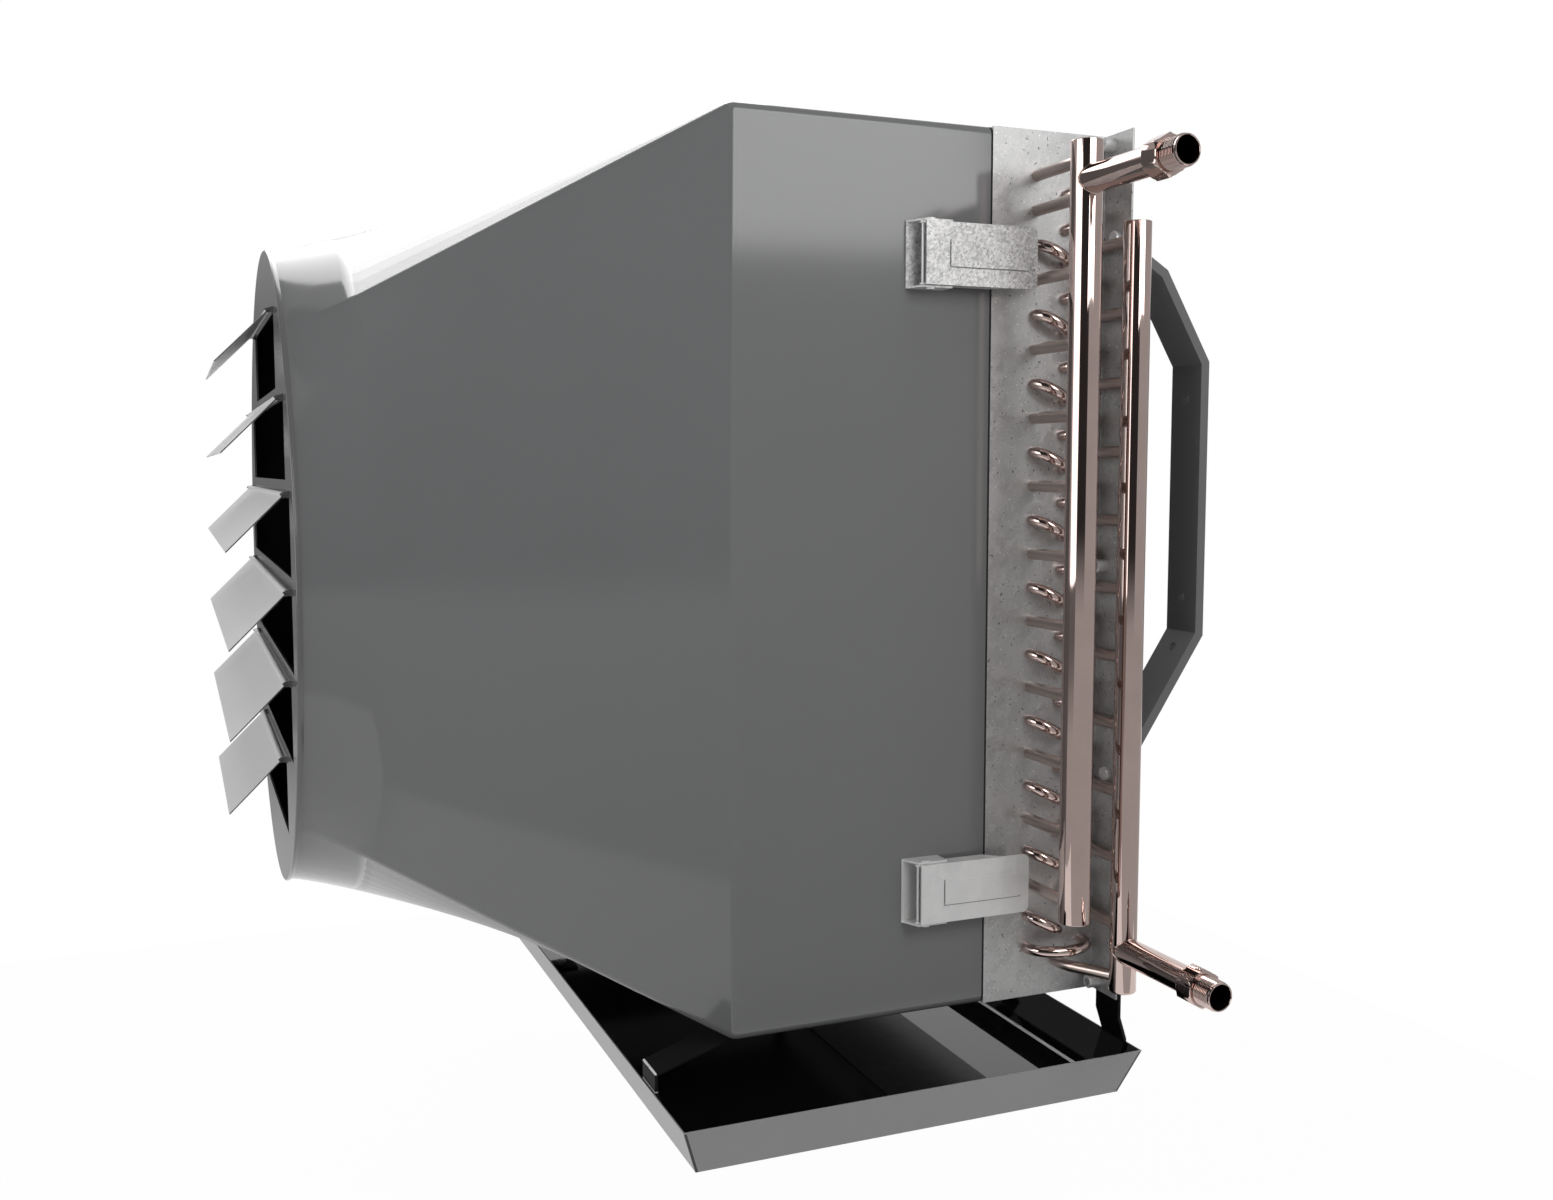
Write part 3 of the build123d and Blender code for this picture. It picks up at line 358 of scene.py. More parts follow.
def strap_finish(name):
    """Dull black, with a painted highlight in patches along the two bends above and at the rim of the pan.
    """
    material, paint = new_paint(name)
    y, z = paint.axes()[1:]
    rim = high("drain_pan").z
    depth = y - low("front_strap_near").y
    # masks for the painted highlight along the upper bend and at the rim
    upper = (abs(z - (rim + STRAP_RISE)) < 0.9 * MM) * (depth < 1.6 * MM)
    lower = (abs(z - (rim + 1.2 * MM)) < 0.6 * MM) * (depth < STRAP_SHEET)
    highlight_patches = paint.noise(90.0, 3.0, 0.6).eased(0.2, 0.35)
    clouds = paint.noise(9.0, 4.0, 0.6)
    colour = paint.mix(clouds, grey(0.010), grey(0.018))
    paint.surface(
        # painted highlight: light grey along the two bends, in patches
        Base_Color=paint.mix(upper.most(lower * 0.6) * highlight_patches, colour, grey(0.8)),
        Specular_IOR_Level=0.02,
        Roughness=clouds * 0.1 + 0.4,
        Normal=paint.bump(paint.noise(380.0, 2.0), 0.000004),
    )
    return material


def pan_finish(name):
    """Grey outside, glossy black inside with a painted highlight along the rear fold, and a dark open joint
    down each corner.
    """
    material, paint = new_paint(name)
    x, y, z = paint.axes()
    centre, top, bottom = middle("drain_pan"), high("drain_pan"), low("drain_pan")
    drop = (top.z - z) * (PAN_SLOPE / (top.z - bottom.z))
    outer_x = top.x - drop - abs(x - centre.x)
    outer_y = (top.y - bottom.y) / 2 - drop - abs(y - centre.y)
    from_outside = outer_x.least(outer_y).least(z - bottom.z)
    inside = from_outside > 0.75 * SHEET
    joint = (outer_x.most(outer_y) < 1.6 * SHEET) * (z < top.z - SHEET)
    painted_fold_highlight = (top.y - drop - y < 2.9 * SHEET) * (z - bottom.z < 2.0 * SHEET) * inside
    outside = paint.mix(paint.noise(7.0, 4.0, 0.6), grey(0.26), grey(0.285))
    outside = paint.mix(joint, outside, grey(0.008))
    both = paint.mix(inside, outside, grey(0.005))
    paint.surface(
        # painted highlight: near-white strip along the inside of the rear fold
        Base_Color=paint.mix(painted_fold_highlight, both, grey(0.85)),
        Roughness=paint.noise(30.0, 4.0) * (1 - inside) * 0.02 + 0.33 - inside * 0.3,
        Normal=paint.bump(paint.noise(380.0, 2.0), 0.000002),
    )
    return material


CASE_GREY = enamel("case_enamel", 0.16, 0.11, warmth=-0.015)
# painted shade: near-black for the inside face of the housing sheet
INSIDE_SHADE = enamel("case_lining", 0.012, 0.5)
PLATE_GREY = enamel("outlet_plate_enamel", 0.12, 0.16)
LOUVRE_GREY = enamel("louvre_enamel", 0.78, 0.34, grain=0.3, painted_shade_ends=True)
BRACKET_GREY = enamel("bracket_enamel", 0.14, 0.3)
BLACK_ENAMEL = enamel("black_enamel", 0.005, 0.06, grain=0.2, shine=0.12)
MOTOR_BLACK = enamel("motor_enamel", 0.012, 0.4)
CARRIER_BLACK = enamel("carrier_enamel", 0.02, 0.42)
CASING_ZINC = spangled_zinc(
    "casing_zinc",
    level=0.46, crystal=120.0, contrast=0.22, roughness=0.37, specks=1.0, clouding=0.13, metallic=0.55,
)
LATCH_ZINC = spangled_zinc(
    "latch_zinc",
    level=0.62, crystal=480.0, contrast=0.75, roughness=0.42, specks=1.0, clouding=0.4, metallic=0.3,
    lever="latch_lever_upper_near",
)
PLAIN_LATCH = spangled_zinc(
    "plain_latch_zinc",
    level=0.7, crystal=60.0, contrast=0.08, roughness=0.42, specks=0.0, clouding=0.1, metallic=0.3,
    lever="latch_lever_lower_near",
)
COPPER = drawn_copper("drawn_copper", (0.61, 0.48, 0.445, 1.0), roughness=0.045, tarnished=0.35)
STUB_COPPER = drawn_copper("dulled_copper", (0.62, 0.52, 0.48, 1.0), roughness=0.3, tarnished=0.4)
BORE = drawn_copper("unlit_bore", (0.03, 0.018, 0.015, 1.0), roughness=0.5, tarnished=0.5)
FIN_METAL = plain_metal("fin_stock", 0.5, 0.38)
FAN_METAL = plain_metal("fan_blade_metal", 0.42, 0.42)
SCREW_ZINC = plain_metal("screw_zinc", 0.72, 0.36, metallic=0.5)
FOAM = foam("seal_foam")
PAN_PAINT = pan_finish("pan_paint")
STRAP_BLACK = strap_finish("strap_black")


# Pieces
def shade(obj, angle=35):
    """Smooth shading, with an edge kept wherever the surface turns by more than the angle."""
    mesh = obj.data
    mesh.polygons.foreach_set("use_smooth", [True] * len(mesh.polygons))
    mesh.set_sharp_from_angle(angle=radians(angle))


def dress(obj, material, body, replaced=(), angle=35):
    """Gives a finished piece its material and its body, and hides the CAD nodes that it stands for."""
    if material is not None:
        obj.data.materials.clear()
        obj.data.materials.append(material)
    if angle is not None:
        shade(obj, angle)
    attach(obj, body)
    if replaced:
        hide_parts(*replaced)
    return obj


def from_bmesh(name, mesh_builder):
    mesh = bpy.data.meshes.new(name)
    mesh_builder.to_mesh(mesh)
    mesh_builder.free()
    obj = bpy.data.objects.new(name, mesh)
    bpy.context.scene.collection.objects.link(obj)
    return obj


def applied(obj):
    """Turns an object with modifiers into a plain mesh of the same name."""
    graph = bpy.context.evaluated_depsgraph_get()
    mesh = bpy.data.meshes.new_from_object(obj.evaluated_get(graph))
    name = obj.name
    bpy.data.objects.remove(obj)
    mesh.name = name
    plain = bpy.data.objects.new(name, mesh)
    bpy.context.scene.collection.objects.link(plain)
    return plain


def node_body(node):
    return next(b for b, names in frame["record"]["behaviour"]["bodies"].items() if node in names)


def unfolded(builder, node):
    """Takes a CAD piece's loose triangles, merged and made whole faces again."""
    builder.from_mesh(nodes[node].data)
    bmesh.ops.remove_doubles(builder, verts=builder.verts, dist=1e-6)
    bmesh.ops.dissolve_limit(
        builder, angle_limit=radians(1), verts=builder.verts, edges=builder.edges, delimit={"NORMAL"}
    )


def flat_faces(obj, keep_sharp=True):
    """Large faces decide the shading of the corners that they share with small ones."""
    flat = obj.modifiers.new("flat_faces", "WEIGHTED_NORMAL")
    flat.weight = 100
    flat.keep_sharp = keep_sharp


def eased_copy(node, material, radius):
    """A copy of a CAD piece with its sharp edges rounded, in the same place."""
    builder = bmesh.new()
    unfolded(builder, node)
    obj = from_bmesh(f"eased_{node}", builder)
    shade(obj, 180)
    bevel = obj.modifiers.new("rounded_edges", "BEVEL")
    bevel.width = radius
    bevel.segments = 2
    bevel.limit_method = "ANGLE"
    bevel.angle_limit = radians(30)
    bevel.use_clamp_overlap = True
    flat_faces(obj)
    return dress(applied(obj), material, node_body(node), [node], None)


def paint_node(node, material):
    """A CAD piece that keeps its own shape and gets its finish."""
    mesh = nodes[node].data
    mesh.materials.clear()
    mesh.materials.append(material)


# Geometry node trees
class Recipe:
    """A Geometry Nodes group under construction, with named inputs."""

    def __init__(self, name):
        self.tree = bpy.data.node_groups.new(name, "GeometryNodeTree")
        self.tree.interface.new_socket("Geometry", in_out="INPUT", socket_type="NodeSocketGeometry")
        self.tree.interface.new_socket("Geometry", in_out="OUTPUT", socket_type="NodeSocketGeometry")
        self.inputs = {}
        self.start = self.tree.nodes.new("NodeGroupInput")

    def ask(self, name, kind, value=None):
        item = self.tree.interface.new_socket(name, in_out="INPUT", socket_type=kind)
        if value is not None:
            item.default_value = value
        self.inputs[name] = item.identifier
        return self.start.outputs[name]

    def node(self, kind, settings=None, values=None):
        node = self.tree.nodes.new(kind)
        for name, value in (settings or {}).items():
            setattr(node, name, value)
        for key, value in (values or {}).items():
            if isinstance(value, bpy.types.NodeSocket):
                self.tree.links.new(value, node.inputs[key])
            else:
                node.inputs[key].default_value = value
        return node

    def end(self, geometry, material):
        whole = self.node("GeometryNodeRealizeInstances", {}, {"Geometry": geometry})
        dressed = self.node(
            "GeometryNodeSetMaterial", {}, {"Geometry": whole.outputs[0], "Material": material}
        )
        finish = self.tree.nodes.new("NodeGroupOutput")
        self.tree.links.new(dressed.outputs[0], finish.inputs[0])

    def run(self, obj, **values):
        """Runs the group on an object and returns the plain mesh that it makes."""
        modifier = obj.modifiers.new(self.tree.name, "NODES")
        modifier.node_group = self.tree
        for name, value in values.items():
            modifier[self.inputs[name]] = value
        return applied(obj)


def tube_recipe():
    """Round tube along each curve, closed at both ends."""
    recipe = Recipe("tube_along_path")
    radius = recipe.ask("Radius", "NodeSocketFloat", TUBE_RADIUS)
    sides = recipe.ask("Sides", "NodeSocketInt", 20)
    material = recipe.ask("Finish", "NodeSocketMaterial")
    ring = recipe.node("GeometryNodeCurvePrimitiveCircle", {}, {"Radius": radius, "Resolution": sides})
    tube = recipe.node(
        "GeometryNodeCurveToMesh",
        {},
        {"Curve": recipe.start.outputs[0], "Profile Curve": ring.outputs[0], "Fill Caps": True},
    )
    recipe.end(tube.outputs[0], material)
    return recipe


def scatter_recipe():
    """One copy of an object at each point, turned by the point's own turn."""
    recipe = Recipe("piece_at_each_point")
    piece = recipe.ask("Piece", "NodeSocketObject")
    material = recipe.ask("Finish", "NodeSocketMaterial")
    info = recipe.node("GeometryNodeObjectInfo", {}, {"Object": piece, "As Instance": True})
    turn = recipe.node("GeometryNodeInputNamedAttribute", {"data_type": "FLOAT_VECTOR"}, {"Name": "turn"})
    placed = recipe.node(
        "GeometryNodeInstanceOnPoints",
        {},
        {
            "Points": recipe.start.outputs[0],
            "Instance": info.outputs["Geometry"],
            "Rotation": turn.outputs["Attribute"],
        },
    )
    recipe.end(placed.outputs[0], material)
    return recipe


TUBE_RECIPE = tube_recipe()
SCATTER_RECIPE = scatter_recipe()


def tubes(name, paths, material, replaced=(), radius=TUBE_RADIUS, sides=20):
    """Tubes of one radius along several paths, as one piece."""
    curve = bpy.data.curves.new(name, "CURVE")
    curve.dimensions = "3D"
    for path in paths:
        spline = curve.splines.new("POLY")
        spline.points.add(len(path) - 1)
        for point, place in zip(spline.points, path):
            point.co = (*place, 1.0)
    obj = bpy.data.objects.new(name, curve)
    bpy.context.scene.collection.objects.link(obj)
    obj = TUBE_RECIPE.run(obj, Radius=radius, Sides=sides, Finish=material)
    outwards(obj)
    return dress(obj, None, BODY, replaced, 50)


def outwards(obj):
    builder = bmesh.new()
    builder.from_mesh(obj.data)
    bmesh.ops.remove_doubles(builder, verts=builder.verts, dist=1e-7)
    bmesh.ops.recalc_face_normals(builder, faces=builder.faces)
    builder.to_mesh(obj.data)
    builder.free()


def scatter(name, pattern, places, material, replaced=(), body=BODY):
    """Copies of a pattern piece; each place is a point and a turn about X, Y and Z."""
    mesh = bpy.data.meshes.new(name)
    mesh.from_pydata([tuple(point) for point, turn in places], [], [])
    turns = mesh.attributes.new("turn", "FLOAT_VECTOR", "POINT")
    turns.data.foreach_set("vector", [angle for point, turn in places for angle in turn])
    obj = bpy.data.objects.new(name, mesh)
    bpy.context.scene.collection.objects.link(obj)
    obj = SCATTER_RECIPE.run(obj, Piece=pattern, Finish=material)
    for attribute in [a for a in obj.data.attributes if a.name == "turn"]:
        obj.data.attributes.remove(attribute)
    bpy.data.objects.remove(pattern)
    return dress(obj, None, body, replaced)


def turned(name, profile, sides=32):
    """A turned piece about its own Z: the profile is a list of (radius, height)."""
    builder = bmesh.new()
    rings = []
    for radius, height in profile:
        if radius == 0:
            rings.append([builder.verts.new((0, 0, height))])
            continue
        angles = [2 * pi * i / sides for i in range(sides)]
        rings.append([builder.verts.new((radius * cos(a), radius * sin(a), height)) for a in angles])
    for first, second in zip(rings, rings[1:]):
        if len(first) > 1 or len(second) > 1:
            join_rings(builder, first, second)
    if profile[0] != profile[-1]:
        for ring in (rings[0], rings[-1]):
            if len(ring) > 1:
                builder.faces.new(ring)
    bmesh.ops.remove_doubles(builder, verts=builder.verts, dist=1e-7)
    bmesh.ops.recalc_face_normals(builder, faces=builder.faces)
    return from_bmesh(name, builder)


def join_rings(builder, first, second):
    count = max(len(first), len(second))
    for i in range(count):
        j = (i + 1) % count
        if len(first) == 1:
            builder.faces.new((first[0], second[i], second[j]))
        elif len(second) == 1:
            builder.faces.new((first[i], first[j], second[0]))
        else:
            builder.faces.new((first[i], first[j], second[j], second[i]))


def moved(obj, matrix):
    """Puts a piece in its place by moving its mesh, so that its object stays at the origin."""
    obj.data.transform(matrix)
    return obj


def joined(name, parts):
    """One piece made of several plain meshes."""
    builder = bmesh.new()
    for part in parts:
        builder.from_mesh(part.data)
        bpy.data.objects.remove(part)
    return from_bmesh(name, builder)


# Housing: box, square-to-round cone and neck, folded with a small radius
def softened(points, reaches, steps=8):
    """A line of points with each inner corner replaced by a short curve.

    A reach is the curve's length before and after the corner, or a pair where they differ.
    """
    line = [points[0]]
    for before, corner, after, reach in zip(points, points[1:], points[2:], reaches):
        reach_before, reach_after = reach if isinstance(reach, tuple) else (reach, reach)
        start = corner + (before - corner).normalized() * reach_before
        end = corner + (after - corner).normalized() * reach_after
        for step in range(steps + 1):
            t = step / steps
            line.append(start * (1 - t) ** 2 + corner * 2 * t * (1 - t) + end * t**2)
    line.append(points[-1])
    return line


def on_corner(quarter, angle):
    """A place on one rounded corner of the box; quarters count from +X +Z through -X."""
    sign_x = 1 if quarter % 4 in (0, 3) else -1
    sign_z = 1 if quarter % 4 in (0, 1) else -1
    half_height = (case_top - case_bottom) / 2
    centre = Vector((sign_x * (side_x - CASE_CORNER), 0, sign_z * (half_height - CASE_CORNER)))
    return centre + Vector((cos(angle), 0, sin(angle))) * CASE_CORNER


def around_case():
    """Matching places on the box's rounded outline and, as an angle, on the neck's circle."""
    side_steps, corner_steps = 28, 5
    spread = radians(0.9)
    places = []
    for quarter in range(4):
        middle_angle = pi / 4 + quarter * pi / 2
        next_angle = (quarter + 1) * pi / 2
        for step in range(corner_steps):
            t = step / (corner_steps - 1)
            point = on_corner(quarter, quarter * pi / 2 + t * pi / 2)
            places.append((point, middle_angle + (2 * t - 1) * spread))
        start, end = on_corner(quarter, next_angle), on_corner(quarter + 1, next_angle)
        for step in range(1, side_steps):
            t = step / side_steps
            places.append((start.lerp(end, t), middle_angle + spread + t * (pi / 2 - 2 * spread)))
    return places


def make_housing():
    box_front = seam_front - BOX_DEPTH
    neck_start = box_front - CONE_DEPTH + 2 * MM + NECK_DEPTH
    neck_radius = half_width("outlet_plate") - NECK_INSET
    middle_axis = Vector((0, 0, case_middle))
    builder = bmesh.new()
    columns = []
    for point, angle in around_case():
        on_box = point + middle_axis
        on_neck = Vector((neck_radius * cos(angle), 0, case_middle + neck_radius * sin(angle)))
        corners = [(on_box, seam_front), (on_box, box_front), (on_neck, neck_start), (on_neck, neck_end)]
        line = softened(
            [place + Vector((0, y, 0)) for place, y in corners],
            (FOLD_RADIUS, (NECK_BLEND, NECK_DEPTH - 1 * MM)),
        )
        columns.append([builder.verts.new(place) for place in line])
    for first, second in zip(columns, [*columns[1:], columns[0]]):
        for i in range(len(first) - 1):
            builder.faces.new((first[i], first[i + 1], second[i + 1], second[i]))
    bmesh.ops.recalc_face_normals(builder, faces=builder.faces)
    inner = middle_axis + Vector((0, neck_start, 0))
    if sum(face.normal.dot(face.calc_center_median() - inner) for face in builder.faces) < 0:
        bmesh.ops.reverse_faces(builder, faces=builder.faces)
    obj = from_bmesh("housing", builder)
    obj.data.materials.append(CASE_GREY)
    obj.data.materials.append(INSIDE_SHADE)
    shade(obj, 180)
    wall = obj.modifiers.new("sheet", "SOLIDIFY")
    wall.thickness = SHEET
    wall.offset = -1
    wall.use_even_offset = True
    # the sheet's inside face takes the near-black painted shade
    wall.material_offset = 1
    flat_faces(obj, keep_sharp=False)
    dress(applied(obj), None, BODY, ["housing_shell"], None)


def make_outlet_plate():
    """The plate with its rim rounded back to the neck and its hinge ears trimmed small."""
    rim_rounding, tuck, ear_height = 1.9 * MM, 1.4 * MM, 0.5
    rim, collar_end = half_width("outlet_plate"), high("outlet_plate").y
    builder = bmesh.new()
    unfolded(builder, "outlet_plate")

    for vert in builder.verts:
        if vert.co.y < plate_front - 0.1 * MM:
            hinge = min(hinge_levels, key=lambda level: abs(level - vert.co.z))
            vert.co.z = hinge + (vert.co.z - hinge) * ear_height

    def on_front_rim(vert):
        from_centre = sqrt(vert.co.x**2 + (vert.co.z - case_middle) ** 2)
        return abs(from_centre - rim) < 0.2 * MM and vert.co.y < plate_front + 0.2 * MM

    front_rim = [edge for edge in builder.edges if all(on_front_rim(vert) for vert in edge.verts)]
    bmesh.ops.bevel(builder, geom=front_rim, offset=rim_rounding, segments=4, affect="EDGES", profile=0.5)

    for vert in builder.verts:
        spread = Vector((vert.co.x, 0, vert.co.z - case_middle))
        if spread.length > rim - 1.2 * MM and vert.co.y > plate_front + 2.1 * MM:
            back = (vert.co.y - plate_front) / (collar_end - plate_front)
            spread.length = spread.length - tuck * min(back, 1)
            vert.co.x, vert.co.z = spread.x, spread.z + case_middle
    obj = from_bmesh("outlet_plate_dressed", builder)
    shade(obj, 40)
    flat_faces(obj)
    dress(applied(obj), PLATE_GREY, BODY, ["outlet_plate"], None)


# Tube work on the ends of the coil
def bend_path(sign, first, last):
    """U-bend outside an end plate between two tubes given as (row, number)."""
    steps = 14
    start = Vector((sign * side_x, row_y[first[0]], tube_z(*first)))
    end = Vector((sign * side_x, row_y[last[0]], tube_z(*last)))
    outward = Vector((sign, 0, 0))
    centre = (start + end) / 2 + outward * BEND_STRAIGHT
    half = (end - start) / 2
    points = [start]
    for step in range(steps + 1):
        angle = pi * step / steps
        points.append(centre - half * cos(angle) + outward * half.length * BEND_DEPTH * sin(angle))
    points.append(end)
    return points


EVEN = range(2, LAST_TUBE, 2)
ODD = range(1, LAST_TUBE, 2)


def make_tube_work():
    near = [((0, n), (1, n)) for n in EVEN] + [((1, n), (2, n)) for n in (0, *ODD)]
    near.append(((0, LAST_TUBE), (2, LAST_TUBE)))
    far = [((0, 0), (1, 0)), ((0, LAST_TUBE), (1, LAST_TUBE))]
    far += [((row, n), (row, n + 1)) for row in range(3) for n in ODD]
    near_paths = [bend_path(1, *pair) for pair in near]
    far_paths = [bend_path(-1, *pair) for pair in far]
    tubes("near_return_bends", near_paths, COPPER, ["near_bends"], NEAR_TUBE_RADIUS)
    tubes("far_return_bends", far_paths, COPPER, ["far_bends"])

    reach = Vector((low("crossover_tube").x + TUBE_RADIUS, 0, 0))
    top = Vector((0, row_y[2], tube_z(2, 0)))
    bottom = Vector((0, row_y[2], tube_z(2, LAST_TUBE)))
    plate = Vector((-side_x, 0, 0))
    knee = 16 * MM
    crossover = softened([top + plate, top + reach, bottom + reach, bottom + plate], (knee, knee))
    tubes("crossover", [crossover], COPPER, ["crossover_tube"])

    front_x, rear_x = middle("front_header").x, middle("rear_header").x
    front = [stub(0, n, front_x) for n in (0, *ODD)]
    rear = [stub(2, n, rear_x) for n in EVEN]
    start = Vector((side_x, row_y[1], tube_z(1, LAST_TUBE)))
    knee_point = start + Vector((3.6 * TUBE_RADIUS, 0, 0))
    end = Vector((rear_x, row_y[2], start.z))
    rear.append(softened([start, knee_point, end], (9 * MM,)))
    tubes("front_header_stubs", front, STUB_COPPER, ["front_stubs"], NEAR_TUBE_RADIUS)
    tubes("rear_header_stubs", rear, STUB_COPPER, ["rear_stubs"], NEAR_TUBE_RADIUS)


def stub(row, number, x_end):
    z = tube_z(row, number)
    return [Vector((side_x, row_y[row], z)), Vector((x_end, row_y[row], z))]


def closed_pipe(name, radius, bottom, top, bottom_edge, top_edge):
    """A header: a pipe with both ends shut, each with its own rounding."""
    turns = [pi / 2 * step / 6 for step in range(7)]
    profile = [(0, bottom)]
    profile += [(radius - bottom_edge * (1 - sin(a)), bottom + bottom_edge * (1 - cos(a))) for a in turns]
    profile += [(radius - top_edge * (1 - cos(a)), top - top_edge * (1 - sin(a))) for a in turns]
    profile.append((0, top))
    return turned(name, profile, 64)


def make_headers():
    """Each header with its side outlet, the brazed bead between them and the threaded end."""
    feet = {"front": 0.8 * MM, "rear": 2.5 * MM}
    for end, foot in feet.items():
        header, branch, adapter = f"{end}_header", f"{end}_branch", f"{end}_adapter"
        centre = middle(header)
        radius = half_width(header)
        pipe = closed_pipe(f"{end}_manifold", radius, low(header).z, high(header).z, foot, 0.8 * MM)
        moved(pipe, Matrix.Translation((centre.x, centre.y, 0)))
        dress(pipe, COPPER, BODY, [header], 50)

        level_z = middle(branch).z
        outer, inner = BRANCH_RADIUS, BRANCH_RADIUS - BRANCH_WALL
        inner_root, outer_root = centre.x + radius * 0.5, centre.x + radius * 0.35
        tip = low(adapter).x + 6 * MM
        profile = [(inner, inner_root), (outer, outer_root), (outer, tip), (inner, tip), (inner, inner_root)]
        arm = turned(f"{end}_outlet_pipe", profile, 48)
        moved(arm, facing_side(centre.y, level_z))
        dress(arm, COPPER, BODY, [branch], 50)
        saddle(f"{end}_saddle_braze", centre, radius, level_z)
        make_adapter(end, adapter, centre.y, level_z)


def facing_side(y, z):
    """Lays a turned piece's own axis along X, at a depth and a level."""
    return Matrix.Translation((0, y, z)) @ Matrix.Rotation(pi / 2, 4, "Y")


def saddle(name, centre, header_radius, level_z):
    """Brazed fillet where the branch meets the header: a bead along their meeting line."""
    steps, bead, clear = 48, 0.6 * MM, 0.2 * MM
    points = []
    for step in range(steps + 1):
        angle = 2 * pi * step / steps
        y = (BRANCH_RADIUS + clear) * cos(angle)
        z = (BRANCH_RADIUS + clear) * sin(angle)
        y_on = max(-header_radius, min(header_radius, y))
        x = sqrt(max(header_radius**2 - y_on**2, 0))
        points.append(Vector((centre.x + x, centre.y + y, level_z + z)))
    tubes(name, [points], COPPER, (), bead, 10)


def make_adapter(end, node, y, z):
    """Hexagon with a male thread: the thread is rolled as closed rings of its pitch."""
    start, mouth = low(node).x, high(node).x
    hex_length, half_across, corner = 20 * MM, 16 * MM, 18.2 * MM
    outer, bore, pitch, lead = 13.35 * MM, 11.3 * MM, 1.81 * MM, 2.4 * MM
    root = outer - 1.1 * MM
    back = start + hex_length - 12 * MM
    profile = [(0, back), (0, back - 1 * MM), (outer - 0.6 * MM, back - 1 * MM)]
    x = start + hex_length - 0.5 * MM
    while x < mouth - lead - pitch / 2:
        profile += [(root, x), (root, x + 0.2 * pitch), (outer, x + 0.5 * pitch), (outer, x + 0.65 * pitch)]
        x += pitch
    profile += [(root, x), (outer - 0.7 * MM, x + 0.6 * MM)]
    profile += [(outer - 0.7 * MM, mouth - 0.5 * MM), (outer - 1.2 * MM, mouth)]
    profile += [(bore + 0.2 * MM, mouth), (bore, mouth - 0.3 * MM), (bore, back), (0, back)]
    thread = turned(f"{end}_thread", profile, 48)

    hex_end = start + hex_length
    chamfer = [(15.6 * MM, 0), (16.6 * MM, 0.8 * MM), (corner, 2.2 * MM)]
    profile = [(12.9 * MM, start)]
    profile += [(radius, start + inset) for radius, inset in chamfer]
    profile += [(radius, hex_end - inset) for radius, inset in reversed(chamfer)]
    profile += [(12 * MM, hex_end), (12.9 * MM, start)]
    nut = turned(f"{end}_nut", profile, 72)
    flats(nut, half_across, pi / 6)

    whole = joined(f"{end}_threaded_end", [thread, nut])
    whole.data.materials.append(COPPER)
    whole.data.materials.append(BORE)
    for face in whole.data.polygons:
        if sqrt(face.center.x**2 + face.center.y**2) < bore + 0.05 * MM:
            face.material_index = 1
    moved(whole, facing_side(y, z))
    dress(whole, None, BODY, [node], 32)


def flats(obj, half_across, turn=0.0):
    """Cuts a turned piece down to six flats, keeping its rounded corners."""
    step = pi / 3
    for vert in obj.data.vertices:
        x, y = vert.co.x, vert.co.y
        radius = sqrt(x * x + y * y)
        angle = (atan2(y, x) - turn + step / 2) % step - step / 2
        allowed = half_across / cos(angle)
        if radius > allowed:
            vert.co.x *= allowed / radius
            vert.co.y *= allowed / radius


# Fins and the straight tubes between them
def fin_recipe():
    """A row of thin rippled fins across the coil."""
    recipe = Recipe("row_of_fins")
    fin = recipe.ask("Fin", "NodeSocketObject")
    count = recipe.ask("Count", "NodeSocketInt", 100)
    start = recipe.ask("Start", "NodeSocketVector")
    step = recipe.ask("Step", "NodeSocketVector")
    material = recipe.ask("Finish", "NodeSocketMaterial")
    line = recipe.node(
        "GeometryNodeMeshLine", {}, {"Count": count, "Start Location": start, "Offset": step}
    )
    info = recipe.node("GeometryNodeObjectInfo", {}, {"Object": fin, "As Instance": True})
    placed = recipe.node(
        "GeometryNodeInstanceOnPoints", {}, {"Points": line.outputs[0], "Instance": info.outputs["Geometry"]}
    )
    recipe.end(placed.outputs[0], material)
    return recipe


